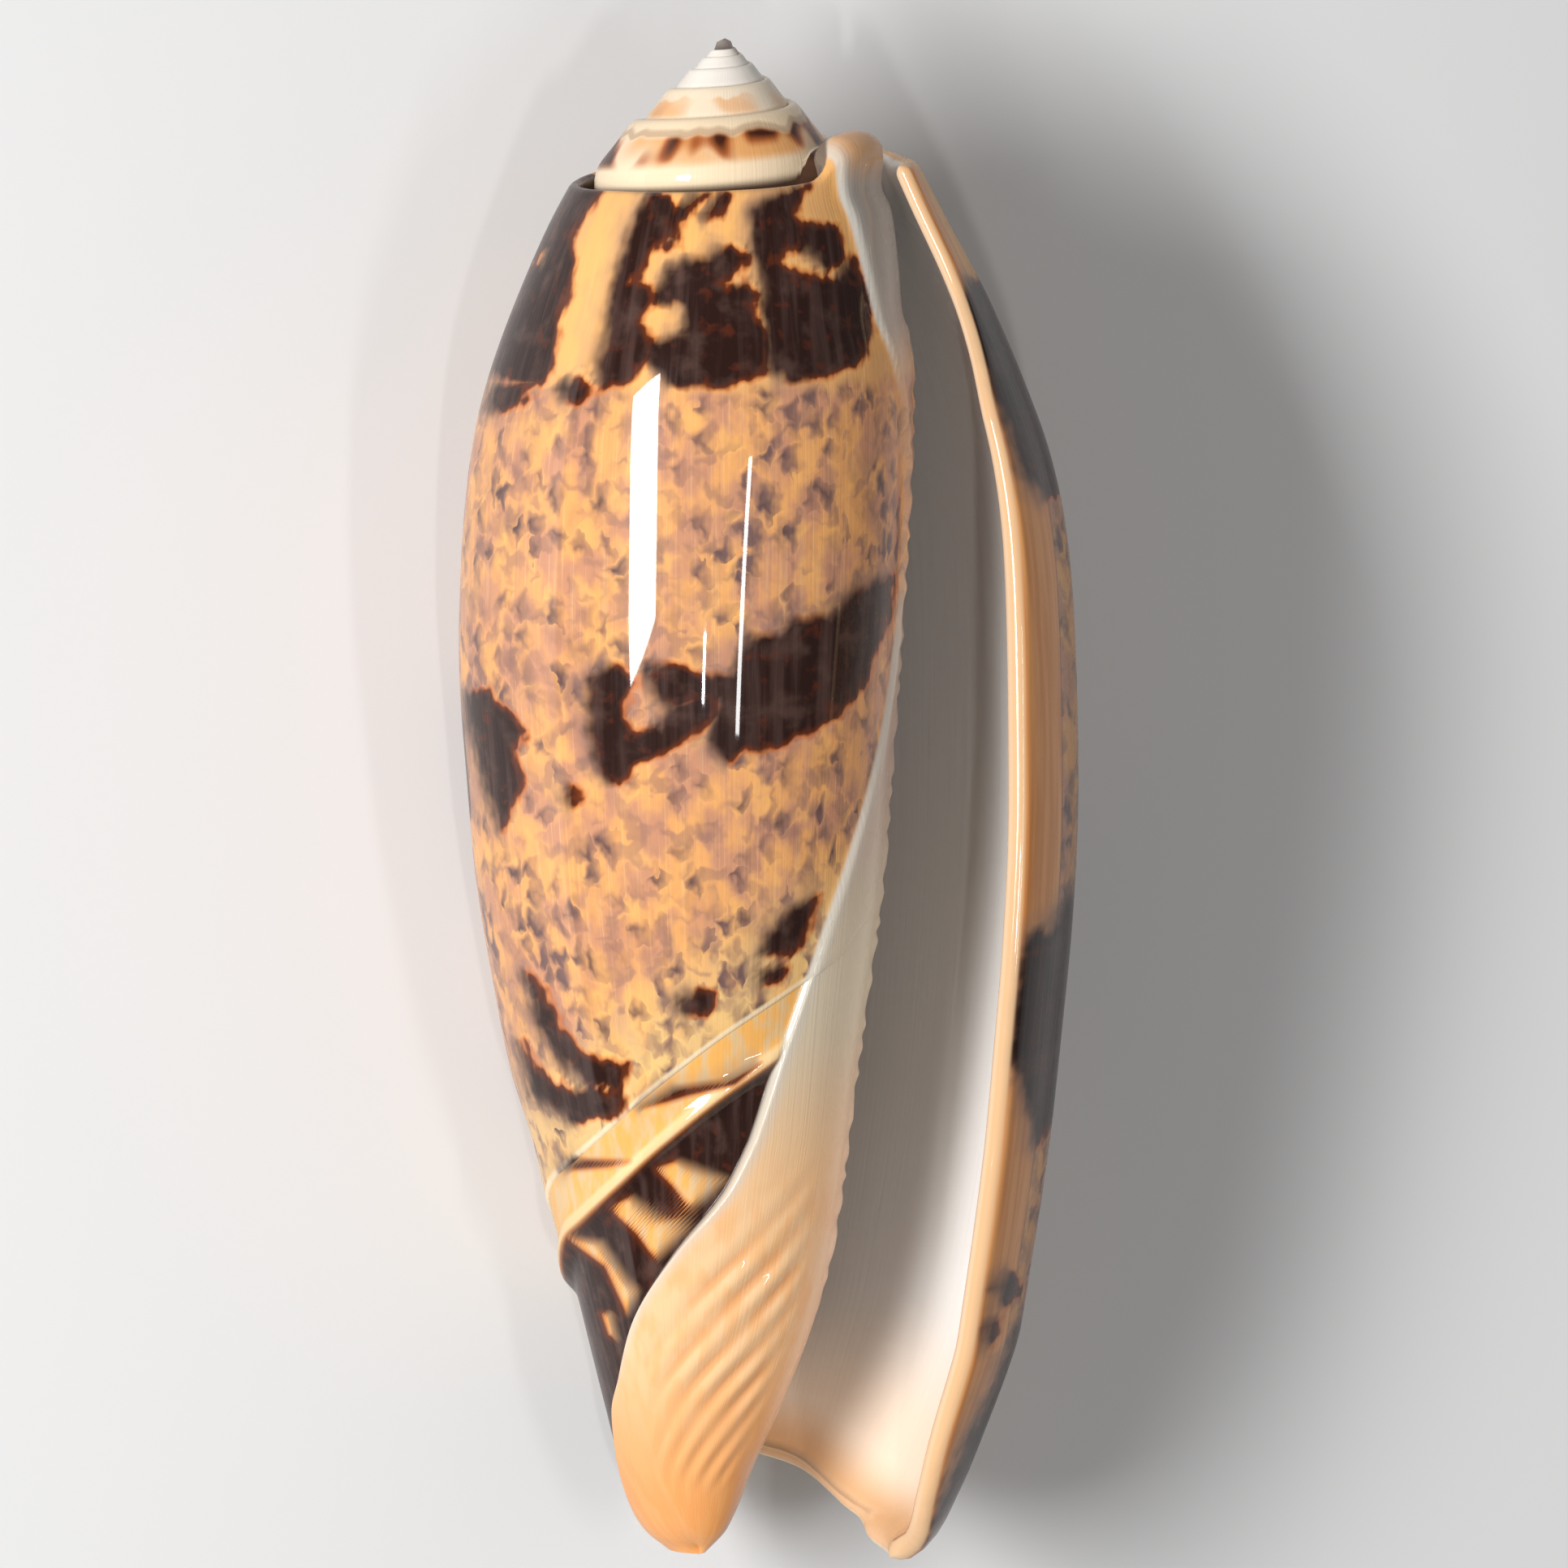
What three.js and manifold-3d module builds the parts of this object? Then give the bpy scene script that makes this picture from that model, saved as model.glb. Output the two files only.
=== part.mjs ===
// An olive shell, about 86 mm long, lying on its back with the aperture up.
// Real size in millimetres, +Z up, spire towards +Y, outer lip towards +X.
//
// The shell is one piece, grown as a spiral wall around a solid core. It is built in its coil
// frame: the coil axis is Y, the apex is at Y = 0, and "depth" is the distance below the apex.
// A turn angle of 0 points at +X, 90 at +Z (the aperture side), and grows towards the outer lip,
// so that one winding later the same direction is 360 more.
import * as THREE from "three";
import { mergeVertices } from "three/addons/utils/BufferGeometryUtils.js";
import Module from "manifold-3d";

const { degToRad, radToDeg, lerp, clamp, smoothstep } = THREE.MathUtils;

// Driving dimensions
const DEPTH_SCALE = 1.02; // depths are as a slightly tilted view shows them, and this much more
const TIP_DEPTH = 84.3; // the columella ends just short of the outer lip
const WALL = 1.6;
const RIM_WALL = 0.75; // the body wall thins towards the channel of the suture
const LIP_WALL = 1.4;
const RIDGE_WALL = 0.6; // and towards the fasciole
const KNOB_WALL = 2.4; // the thick callus knob beside the posterior canal
const CALLUS_RISE = 0.3;
const FOLD_RISE = 0.12;
const FOLD_SPACING = 2.2; // along the columella
const FOLD_SLOPE = 0.115; // mm of depth for a degree of turn
const FASCIOLE_WIDTH = 3.1; // from the edge of the body wall to the second ridge
const FASCIOLE_SINK = 0.25; // the band between them lies a little lower
const RIDGE_RISE = 0.4;
const RIDGE_REACH = 0.7;
const CHANNEL_DEPTH = 1.2;
const CORE_TOP = 10;
const SPIRE_GROWTH = 1.62; // per turn
const SPIRE_START = -5.4 * 360; // turn where the protoconch ends
const SPIRE_END = 18;
const INNER_WALL = 0.9; // the earlier whorls, out of sight, are thin
const PILLAR_RADIUS = 2;
const BACK_FLATTENING = 0.055; // share of the radius
const COLUMELLA_TOP = 44; // above this the inside of the earlier whorl is hollow too
const BACK_TURN = 265; // where the back is flattened most
const LIP_TURN = 391;
const LIP_FLARE = 0.01; // share of the radius
const LIP_CURL = 0.02;
const WALL_START = -200;
const HIDDEN_SHARE = 0.2; // of the wall's columns, for the turns that are out of sight
const HIDDEN_WAY = 0.34; // of its turns
const WALL_EDGE_SINK = 0.4; // how far the core stays under the body wall's edge

// The way down, in the coil frame, when the shell lies on its back, and the small flat rest spot
const REST_ROLL = 18; // turned towards the left side
const REST_PITCH = -5; // towards the anterior end
const FLAT_SPOT_DEPTH = 0.25;

// Smooth curve through hand-set points, level outside them
function through(points) {
  const slope = points.map((_, i) => {
    const [a, b] = [points[Math.max(i - 1, 0)], points[Math.min(i + 1, points.length - 1)]];
    return (b[1] - a[1]) / (b[0] - a[0]);
  });
  return (x) => {
    const t = clamp(x, points[0][0], points.at(-1)[0]);
    const i = clamp(points.findIndex((p) => p[0] >= t) - 1, 0, points.length - 2);
    const [[x0, y0], [x1, y1]] = [points[i], points[i + 1]];
    const w = x1 - x0;
    const u = (t - x0) / w;
    const [u2, u3] = [u * u, u * u * u];
    return (
      (2 * u3 - 3 * u2 + 1) * y0 +
      (u3 - 2 * u2 + u) * w * slope[i] +
      (3 * u2 - 2 * u3) * y1 +
      (u3 - u2) * w * slope[i + 1]
    );
  };
}

// Outlines against depth: how far each side lies from the coil axis
const parietalSide = through([
  [5, 8.9], [6, 8.8], [7.4, 8.5], [8.4, 8.55], [9.4, 9], [12.5, 9.4], [15, 9.6], [17, 10.1],
  [22.4, 10.1], [29.6, 9.7], [38.7, 9.05], [47.8, 8.3], [56.9, 7.05], [66, 5.9], [70.5, 4.9],
  [75.5, 3.05], [79, 1.45], [82.8, -0.15], [84.3, -1.5],
]);
const leftSide = through([
  [4, 6], [7.9, 8.55], [11, 10.2], [16.5, 12.5], [20.5, 13.75], [24.6, 14.45], [30, 14.85],
  [35.5, 14.9], [41, 14.5], [46.5, 14], [52, 13.1], [57.4, 12], [61.5, 10.7], [65.5, 9.75],
  [72.4, 7.9], [76.5, 6.7], [79.2, 5.8], [82, 4.4], [83.4, 3.2], [84.3, 1.5],
]);
const rightSide = through([
  [4, 9.3], [6.6, 10.7], [9.3, 12.1], [13.7, 14.5], [16.5, 15.8], [19.5, 17.05], [22.5, 18.15],
  [26, 19], [30, 19.5], [36, 19.8], [43, 19.87], [49, 19.55], [53.3, 19.15], [61.5, 18.25],
  [69.6, 17], [72.4, 16.45], [77.8, 14.45], [80.5, 13.3], [83.3, 11.75], [85, 9.6],
]);
// The centre that the turns run around swings left towards the anterior end
const centreShift = through([[60, 0], [70, -0.8], [76, -1.6], [80, -1.9], [84.3, -1.5]]);

// Edges of the body wall: depth of its posterior rim and of its anterior edge, by turn angle.
// The anterior edge is the fasciole ridge, then the siphonal notch, then the tip of the lip.
const rimDepth = through([
  [-200, 9], [-60, 8.6], [-20, 8.8], [0, 7.5], [8, 5.8], [15, 4.9], [35, 4.9], [42, 5.5],
  [48, 6.8], [54, 7.3], [90, 7.6], [135, 7.8], [180, 7.9], [225, 7.4], [270, 6.8], [300, 6.4],
  [340, 6.4], [391, 6.6],
]);
const edgeDepth = through([
  [-200, 48.5], [30, 49.2], [60, 51.2], [87, 53.8], [109, 56.6], [131, 59.6], [150, 61.7],
  [166, 63], [200, 66.2], [230, 70.3], [262, 76.2], [285, 79.8], [305, 81.2], [322, 83.2],
  [345, 84.7], [391, 84.8],
]);
const lipTurn = through([
  [4, 374], [7, 378], [11, 380], [16, 384], [20, 388], [30, 391], [45, 392], [70, 392],
  [76, 391], [80, 387], [83, 379], [84.4, 370], [85, 364],
]);
// Turn angle where the columella's back ends and the cavity begins, down to the rim of the notch
const cavityEnd = through([[12, 200], [60, 200], [70, 250], [78, 285], [81, 265], [84.3, 240]]);
const CAVITY_EDGE = 16; // degrees over which it falls away
// Turn angle where the callus ends on the body wall, against depth
const callusEdge = through([
  [5, 46], [9, 43], [13, 38], [16, 33], [20, 24], [25, 14], [30, 15], [34, 22], [38.7, 32],
  [47.2, 54], [53.8, 68], [62.4, 87], [66.4, 109], [70.2, 131], [74, 150], [76, 166], [78.5, 180],
  [81, 198], [84, 222],
]);
// The edge of the body wall once around, closed up where the core is out of sight
const fascioleDepth = through([
  [8, 47], [60, 51.2], [87, 53.8], [109, 56.6], [131, 59.6], [150, 61.7], [166, 63],
  [200, 66.2], [240, 66], [330, 50], [368, 47],
]);

// Radius of the outside at a turn angle and depth, smooth over the turns
function whorlRadius(turn, depth) {
  const shift = centreShift(depth);
  const inner = Math.max(parietalSide(depth) - shift, 0.05);
  const left = Math.max(leftSide(depth) + shift, 0.05);
  const right = rightSide(depth) - shift;
  const knots = [0.42 * inner, 0.6 * inner, inner, left, right, right + 0.3 * (right - left)];
  const place = clamp(turn / 180 + 2, 1, 4 - 1e-6);
  const i = Math.floor(place);
  const u = place - i;
  const [p0, p1, p2, p3] = [knots[i - 1], knots[i], knots[i + 1], knots[i + 2]];
  const radius =
    p1 + 0.5 * u * (p2 - p0 + u * (2 * p0 - 5 * p1 + 4 * p2 - p3 + u * (3 * (p1 - p2) + p3 - p0)));
  const back = Math.max(0, Math.cos(degToRad(turn - BACK_TURN)));
  return radius * (1 - BACK_FLATTENING * back * back);
}

function outsideRadius(turn, depth) {
  if (turn <= 360) return whorlRadius(turn, depth);
  const past = (turn - 360) / (LIP_TURN - 360);
  return whorlRadius(360 - 1e-3, depth) * (1 + LIP_FLARE * past - LIP_CURL * past * past);
}

function atTurn(turn, depth, radius) {
  const a = degToRad(turn);
  const x = centreShift(depth) + radius * Math.cos(a);
  return new THREE.Vector3(x, -depth * DEPTH_SCALE, radius * Math.sin(a));
}

const outside = (turn, depth) => atTurn(turn, depth, outsideRadius(turn, depth));

function outsideNormal(turn, depth) {
  const alongTurn = outside(turn + 0.5, depth).sub(outside(turn - 0.5, depth));
  const alongDepth = outside(turn, depth + 0.1).sub(outside(turn, depth - 0.1));
  return alongTurn.cross(alongDepth).normalize();
}

// One between the two middle values, falling to nothing at the outer two
function bump(x, start, full, fading, end) {
  return smoothstep(x, start, full) * (1 - smoothstep(x, fading, end));
}

function wallThickness(turn, depth) {
  const lip = smoothstep(turn, 340, 385);
  const knob = bump(turn, -12, 6, 38, 48) * (1 - smoothstep(depth, 10, 18));
  const atRim = (1 - smoothstep(depth - rimDepth(turn), 0, 4)) * (1 - smoothstep(turn, 330, 350));
  const atRidge = (1 - smoothstep(edgeDepth(turn) - depth, 0, 5)) * bump(turn, 30, 50, 270, 300);
  const wall = lerp(INNER_WALL, WALL, smoothstep(turn, -60, 20));
  const body = lerp(lerp(wall, LIP_WALL, lip), RIM_WALL, atRim);
  return lerp(lerp(body, RIDGE_WALL, atRidge), KNOB_WALL, knob);
}

// How far the callus stands proud, with the folds of the columella
function callusRelief(turn, depth) {
  const edge = callusEdge(depth);
  const within = bump(edge - turn, -0.5, 4, edge + 15, edge + 30);
  const across = bump(turn, 40, 70, edge - 35, edge - 8);
  const foldZone = across * bump(depth, 60, 68, 77, 81);
  const phase = (depth - FOLD_SLOPE * turn) / FOLD_SPACING;
  return within * (CALLUS_RISE + FOLD_RISE * foldZone * Math.cos(2 * Math.PI * phase));
}

// The two ridges of the fasciole: the body wall's own edge, and the border of the band before it
function fascioleRelief(turn, depth) {
  const beyond = depth - fascioleDepth(turn);
  const crest = Math.exp(-(((beyond - FASCIOLE_WIDTH) / RIDGE_REACH) ** 2));
  const step = smoothstep(beyond, FASCIOLE_WIDTH, FASCIOLE_WIDTH + 1);
  return RIDGE_RISE * crest - FASCIOLE_SINK - 0.8 * FASCIOLE_SINK * step;
}

// Stations from one rounded edge to the other: quarter rounds at both ends, even steps between.
// Each holds how far it is into the first or last edge's rounding, or its share of the way between.
function stations(steps, roundSteps) {
  const rounding = (end) =>
    Array.from({ length: roundSteps }, (_, i) => ({ end, arc: (i / roundSteps) * (Math.PI / 2) }));
  const between = Array.from({ length: steps + 1 }, (_, i) => ({ share: i / steps, arc: Math.PI / 2 }));
  return [...rounding("first"), ...between, ...rounding("last").reverse()];
}

function stationValue(station, first, last, inset) {
  const depthIn = inset * (1 - Math.cos(station.arc));
  if (station.end === "first") return first + depthIn;
  if (station.end === "last") return last - depthIn;
  return lerp(first + inset, last - inset, station.share);
}

function geometryOf(points, faces) {
  const geometry = new THREE.BufferGeometry().setFromPoints(points);
  geometry.setIndex(faces.flat());
  return geometry;
}

// The hidden third of the wall's turns takes only a fifth of the columns
function columnShare(share) {
  if (share < HIDDEN_SHARE) return (share / HIDDEN_SHARE) * HIDDEN_WAY;
  return lerp(HIDDEN_WAY, 1, (share - HIDDEN_SHARE) / (1 - HIDDEN_SHARE));
}

function wallPlace(column, row) {
  let turn = stationValue(column, WALL_START, LIP_TURN, 4);
  let depth = 0;
  for (let pass = 0; pass < 6; pass++) {
    const atEdge = row.end === "last" ? edgeDepth(turn) : rimDepth(turn);
    depth = stationValue(row, rimDepth(turn), edgeDepth(turn), 0.5 * wallThickness(turn, atEdge));
    const inset = radToDeg((0.5 * wallThickness(turn, depth)) / outsideRadius(turn, depth));
    turn = stationValue(column, WALL_START, lipTurn(depth), inset);
  }
  return [turn, depth];
}

// The body wall: a thick sheet with rounded edges all round, from the hidden whorl to the lip
function bodyWall(turnSteps, depthSteps, roundSteps) {
  const columns = stations(turnSteps, roundSteps).map((column) => ({
    ...column,
    share: column.share === undefined ? undefined : columnShare(column.share),
  }));
  const rows = stations(depthSteps, roundSteps);
  const [across, along] = [columns.length, rows.length];
  const points = [];
  const faces = [];
  const index = (side, i, j) => {
    const onEdge = i === 0 || j === 0 || i === across - 1 || j === along - 1;
    return (onEdge ? 0 : side) * across * along + j * across + i;
  };
  for (const side of [1, -1]) {
    for (const row of rows) {
      for (const column of columns) {
        const [turn, depth] = wallPlace(column, row);
        const half = 0.5 * wallThickness(turn, depth);
        const swell = Math.sin(column.arc) * Math.sin(row.arc);
        const overCore = smoothstep(depth, COLUMELLA_TOP + 3, edgeDepth(turn) - 1);
        const relief = side > 0 ? callusRelief(turn, depth) * (1 - overCore) * swell : 0;
        const inward = half * (side * swell - 1) + relief;
        points.push(outside(turn, depth).addScaledVector(outsideNormal(turn, depth), inward));
      }
    }
  }
  for (const side of [0, 1]) {
    for (let j = 0; j + 1 < along; j++) {
      for (let i = 0; i + 1 < across; i++) {
        const [a, b, c, d] = [
          index(side, i, j), index(side, i + 1, j), index(side, i + 1, j + 1), index(side, i, j + 1),
        ];
        if (side === 0) faces.push([a, b, c], [a, c, d]);
        else faces.push([a, c, b], [a, d, c]);
      }
    }
  }
  return geometryOf(points, faces);
}

// The core: the earlier whorls, the columella and the callus that covers its front
function coreRadius(turn, depth) {
  const cavity = smoothstep(turn, cavityEnd(depth), cavityEnd(depth) + CAVITY_EDGE);
  const earlier = whorlRadius(turn - 360, depth);
  const covered = 1 - smoothstep(depth, edgeDepth(turn) - 1, edgeDepth(turn) - 0.2);
  const bare = lerp(fascioleRelief(turn, depth), -WALL_EDGE_SINK, covered);
  const callus = smoothstep(callusEdge(depth) - turn, -0.5, 3);
  const own = outsideRadius(turn, depth) + lerp(bare, callusRelief(turn, depth), callus);
  const filled = smoothstep(depth, COLUMELLA_TOP, COLUMELLA_TOP + 3);
  return lerp(PILLAR_RADIUS, lerp(own, earlier, cavity), filled);
}

// Columns crowd onto the callus and the rim of the notch, and rows follow the fasciole
const CORE_COLUMNS = [0, 0.5, 0.8, 0.9, 1];
const CORE_START = -30; // turn angle
const PILLAR_ROWS = 0.16; // share of the rows above the fasciole, crowded towards it
const BAND_ROWS = 0.36; // and down to its other side
const BAND_WIDTH = 5;
const TIP_ARC = 1.35; // rows close up towards the tip, as along an arc of this angle

function coreDepth(turn, row) {
  const edge = fascioleDepth(turn);
  if (row < PILLAR_ROWS) return lerp(CORE_TOP, edge - 1, 1 - (1 - row / PILLAR_ROWS) ** 2);
  const share = (row - PILLAR_ROWS) / (BAND_ROWS - PILLAR_ROWS);
  if (row < BAND_ROWS) return lerp(edge - 1, edge + BAND_WIDTH, share);
  const arc = ((row - BAND_ROWS) / (1 - BAND_ROWS)) * TIP_ARC;
  return lerp(edge + BAND_WIDTH, TIP_DEPTH, Math.sin(arc) / Math.sin(TIP_ARC));
}

function corePlace(column, row) {
  let turn = lerp(CORE_START, CORE_START + 360, column);
  let depth = 0;
  for (let pass = 0; pass < 6; pass++) {
    depth = coreDepth(turn, row);
    const callus = callusEdge(depth);
    const cavity = cavityEnd(depth);
    const knots = [CORE_START, callus, cavity, cavity + CAVITY_EDGE, CORE_START + 360];
    const k = CORE_COLUMNS.findIndex((share) => share > column) - 1;
    const within = (column - CORE_COLUMNS[k]) / (CORE_COLUMNS[k + 1] - CORE_COLUMNS[k]);
    turn = lerp(knots[k], knots[k + 1], within);
  }
  return [turn, depth];
}

function core(turnSteps, depthSteps) {
  const points = [atTurn(0, CORE_TOP, 0)];
  const faces = [];
  for (let j = 1; j < depthSteps; j++) {
    for (let i = 0; i < turnSteps; i++) {
      const [turn, depth] = corePlace(i / turnSteps, j / depthSteps);
      points.push(atTurn(turn, depth, coreRadius(turn, depth)));
    }
  }
  points.push(atTurn(0, TIP_DEPTH, 0));
  const at = (j, i) => 1 + (j - 1) * turnSteps + (i % turnSteps);
  const last = points.length - 1;
  for (let i = 0; i < turnSteps; i++) {
    faces.push([0, at(1, i + 1), at(1, i)]);
    faces.push([last, at(depthSteps - 1, i), at(depthSteps - 1, i + 1)]);
    for (let j = 1; j + 1 < depthSteps; j++) {
      faces.push([at(j, i), at(j, i + 1), at(j + 1, i + 1)]);
      faces.push([at(j, i), at(j + 1, i + 1), at(j + 1, i)]);
    }
  }
  return geometryOf(points, faces);
}

// The spire: one whorl's slope from suture to suture, as [radius, depth] on the left side of the
// last whorl, repeated smaller up the spiral. The last turn ends in the channel of the suture.
const SPIRE_SLOPE = [[4.3, 5], [4.6, 4.5], [5.2, 4.65], [6.2, 5.9], [7.05, 7], [7.3, 7.8]];

// Depth of the channel's floor beside a turn of the spire; it sinks away where the aperture opens
function channelDepth(turn) {
  return lerp(rimDepth(turn + 360) + CHANNEL_DEPTH, 11, smoothstep(turn, -50, -15));
}

function spireSlope(turn) {
  const scale = SPIRE_GROWTH ** ((turn + 180) / 360);
  const slope = SPIRE_SLOPE.map(([radius, depth]) => [radius * scale, depth * scale]);
  const deepest = turn > SPIRE_END - 360 ? channelDepth(turn) - 0.2 : Infinity;
  const widest = turn > -90 ? whorlRadius(turn, 9) - 0.4 : Infinity;
  for (let k = 1; k < slope.length; k++) {
    const [[r0, d0], [r1, d1]] = [slope[k - 1], slope[k]];
    if (d1 > deepest) slope[k] = [r0 + Math.max(((deepest - d0) / (d1 - d0)) * (r1 - r0), 0.05), deepest];
    slope[k][0] = Math.min(slope[k][0], widest);
  }
  return slope;
}

function spire(perTurn) {
  const steps = Math.round(((SPIRE_END - SPIRE_START) / 360) * perTurn);
  const open = steps - perTurn; // first column that ends in the channel
  const last = SPIRE_SLOPE.length;
  const turnAt = (i) => SPIRE_END + (360 * (i - steps)) / perTurn;
  const points = [];
  const columns = Array.from({ length: steps + 1 }, (_, i) => {
    const slope = spireSlope(turnAt(i));
    return slope.map(([radius, depth]) => points.push(atTurn(turnAt(i), depth, radius)) - 1);
  });
  columns.forEach((column, i) => {
    if (i < open) column.push(columns[i + perTurn][0]);
  });
  const channels = columns.slice(open).map((column, k) => {
    const turn = turnAt(open + k);
    const wall = outsideRadius(turn + 360, 9) - 0.5 * wallThickness(turn + 360, 9);
    const floor = lerp(wall, whorlRadius(turn, 9) - 0.3, smoothstep(turn, -50, -20));
    const foot = Math.min(spireSlope(turn).at(-1)[0], floor - 0.2);
    return [foot, floor].map((radius) => points.push(atTurn(turn, channelDepth(turn), radius)) - 1);
  });
  const apex = points.push(new THREE.Vector3(0, 0, 0)) - 1;
  const bottom = points.push(new THREE.Vector3(0, -CORE_TOP - 4, 0)) - 1;
  const faces = [];
  const strip = (near, far) => {
    for (let j = 0; j + 1 < near.length; j++) {
      faces.push([near[j], far[j + 1], near[j + 1]], [near[j], far[j], far[j + 1]]);
    }
  };
  const openColumn = (i) => [...columns[i].slice(0, last), ...channels[i - open]];
  const closedColumn = (i) => [...columns[i].slice(0, last), columns[i + perTurn][0]];
  for (let i = 0; i < open; i++) strip(closedColumn(i), closedColumn(i + 1));
  for (let i = open; i < steps; i++) strip(openColumn(i), openColumn(i + 1));
  for (let i = 0; i < perTurn; i++) faces.push([apex, columns[i + 1][0], columns[i][0]]);
  closedColumn(0).forEach((point, j, column) => {
    if (j > 0) faces.push([apex, column[j - 1], point]);
  });
  const rim = [
    ...channels.map(([, floor]) => floor),
    ...openColumn(steps).slice(0, -1).reverse(),
    ...openColumn(open).slice(last - 1, -1),
  ];
  rim.forEach((point, k) => faces.push([bottom, point, rim[(k + 1) % rim.length]]));
  return geometryOf(points, faces);
}

const wasm = await Module();
wasm.setup();

function solidOf(geometry) {
  for (const name of ["normal", "uv"]) geometry.deleteAttribute(name);
  const merged = mergeVertices(geometry, 1e-4);
  const solid = new wasm.Manifold(
    new wasm.Mesh({
      numProp: 3,
      vertProperties: merged.getAttribute("position").array,
      triVerts: new Uint32Array(merged.index.array),
    }),
  );
  if (solid.volume() < 0) throw new Error("a solid is inside out");
  return solid;
}

function geometryFrom(solid) {
  const { vertProperties, triVerts } = solid.getMesh();
  const geometry = new THREE.BufferGeometry();
  geometry.setAttribute("position", new THREE.BufferAttribute(vertProperties, 3));
  geometry.setIndex(new THREE.BufferAttribute(triVerts, 1));
  return geometry;
}

// Lays the shell on its back, with the middle of its footprint at the origin
function layDown(solid) {
  const down = new THREE.Vector3(0, 0, -1).applyEuler(
    new THREE.Euler(degToRad(REST_PITCH), degToRad(REST_ROLL), 0),
  );
  const turn = new THREE.Quaternion().setFromUnitVectors(down, new THREE.Vector3(0, 0, -1));
  const laid = solid.transform(new THREE.Matrix4().makeRotationFromQuaternion(turn).elements);
  const flat = laid.trimByPlane([0, 0, 1], laid.boundingBox().min[2] + FLAT_SPOT_DEPTH);
  const { min, max } = flat.boundingBox();
  return flat.translate([-(min[0] + max[0]) / 2, -(min[1] + max[1]) / 2, -min[2]]);
}

const shell = solidOf(bodyWall(44, 18, 2)).add(solidOf(core(40, 36))).add(solidOf(spire(24)));

const shellMesh = new THREE.Mesh(
  geometryFrom(layDown(shell)),
  new THREE.MeshStandardMaterial({ color: 0xd9a066, roughness: 0.25, metalness: 0 }),
);
shellMesh.name = "shell";
const root = new THREE.Group();
root.add(shellMesh);
export default root;
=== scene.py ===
"""An olive shell lying on its back, seen from above with the aperture towards the camera.

The shell is drawn again here, much finer than the CAD solid, from the same growth curves: a turn
angle around the coil axis, which grows towards the outer lip, and a depth below the apex. The
colour pattern is painted in those two directions, as the animal laid it down.
"""

import math

import bpy
import numpy as np
from mathutils import Matrix, Quaternion, Vector


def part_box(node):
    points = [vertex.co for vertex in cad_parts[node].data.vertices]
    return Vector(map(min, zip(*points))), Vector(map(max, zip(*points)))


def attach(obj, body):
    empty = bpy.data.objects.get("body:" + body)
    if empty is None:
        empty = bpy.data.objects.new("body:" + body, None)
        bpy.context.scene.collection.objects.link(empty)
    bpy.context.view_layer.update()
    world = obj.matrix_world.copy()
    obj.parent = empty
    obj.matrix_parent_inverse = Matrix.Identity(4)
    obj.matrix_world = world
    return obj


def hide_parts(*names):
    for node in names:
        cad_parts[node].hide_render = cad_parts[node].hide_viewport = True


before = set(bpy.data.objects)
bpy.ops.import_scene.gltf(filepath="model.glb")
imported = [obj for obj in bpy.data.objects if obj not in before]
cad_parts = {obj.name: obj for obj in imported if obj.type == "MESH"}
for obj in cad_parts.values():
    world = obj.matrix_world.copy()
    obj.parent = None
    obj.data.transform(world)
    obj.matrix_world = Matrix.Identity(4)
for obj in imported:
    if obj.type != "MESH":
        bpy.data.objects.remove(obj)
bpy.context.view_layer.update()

MM = 0.001

# Driving dimensions of the shell, in millimetres and degrees of turn
DEPTH_SCALE = 1.02  # true depth for each millimetre of depth in the tilted photograph
TIP_DEPTH = 84.3
WALL = 1.6
RIM_WALL = 0.75
LIP_WALL = 1.4
UPPER_LIP_WALL = 0.95
RIDGE_WALL = 0.6
KNOB_WALL = 2.4
INNER_WALL = 0.9
PILLAR_RADIUS = 2.0
COLUMELLA_TOP = 44.0
CALLUS_RISE = 0.3
FOLD_RISE = 0.12
FOLD_SPACING = 2.7
FOLD_SLOPE = 0.14
DENTICLE_RISE = 0.16
DENTICLE_SPACING = 1.8
FASCIOLE_WIDTH = 3.1
FASCIOLE_SINK = 0.12
RIDGE_RISE = 0.35
RIDGE_HALF_WIDTH = 0.7
STEP_PAST_RIDGE = 0.3
COVERED_SINK = 0.4  # the core lies this much deeper where the last whorl covers it
CHANNEL_DEPTH = 1.2
CORE_TOP = 10.0
SKIN = 0.03  # the callus on the core lies this far under the callus on the wall
BACK_FLATTENING = 0.055
BACK_TURN = 265
INNER_WHORLS = (0.42, 0.6)  # share of the parietal radius, a turn and half a turn earlier
GROWTH_PAST_LIP = 0.3
LIP_FLARE = 0.01
LIP_CURL = 0.02
SPIRE_GROWTH = 1.62
SPIRE_START = -5.4 * 360
SPIRE_END = 18.0
LIP_TURN = 391.0
WALL_START = -200.0
CAVITY_EDGE = 16.0
REST_ROLL = 18.0
REST_PITCH = -5.0
FLAT_SPOT_DEPTH = 0.25

# The photograph's view
VIEW_PITCH = 7.0  # how far its camera looks down from the spire's end
PIXELS_PER_MM = 22.0
PHOTO_PIXELS = 1932
APEX_PIXEL = (893, 47)
CAMERA_DISTANCE = 1.0
SENSOR_MM = 36.0
pitch = math.radians(VIEW_PITCH)
toward_camera = Vector((0, math.sin(pitch), math.cos(pitch)))
image_up = Vector((0, math.cos(pitch), -math.sin(pitch)))
right_mm = (PHOTO_PIXELS / 2 - APEX_PIXEL[0]) / PIXELS_PER_MM
down_mm = (PHOTO_PIXELS / 2 - APEX_PIXEL[1]) / PIXELS_PER_MM


def lerp(a, b, t):
    return a + (b - a) * t


def smoothstep(x, low, high):
    t = np.clip((x - low) / (high - low), 0.0, 1.0)
    return t * t * (3 - 2 * t)


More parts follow.
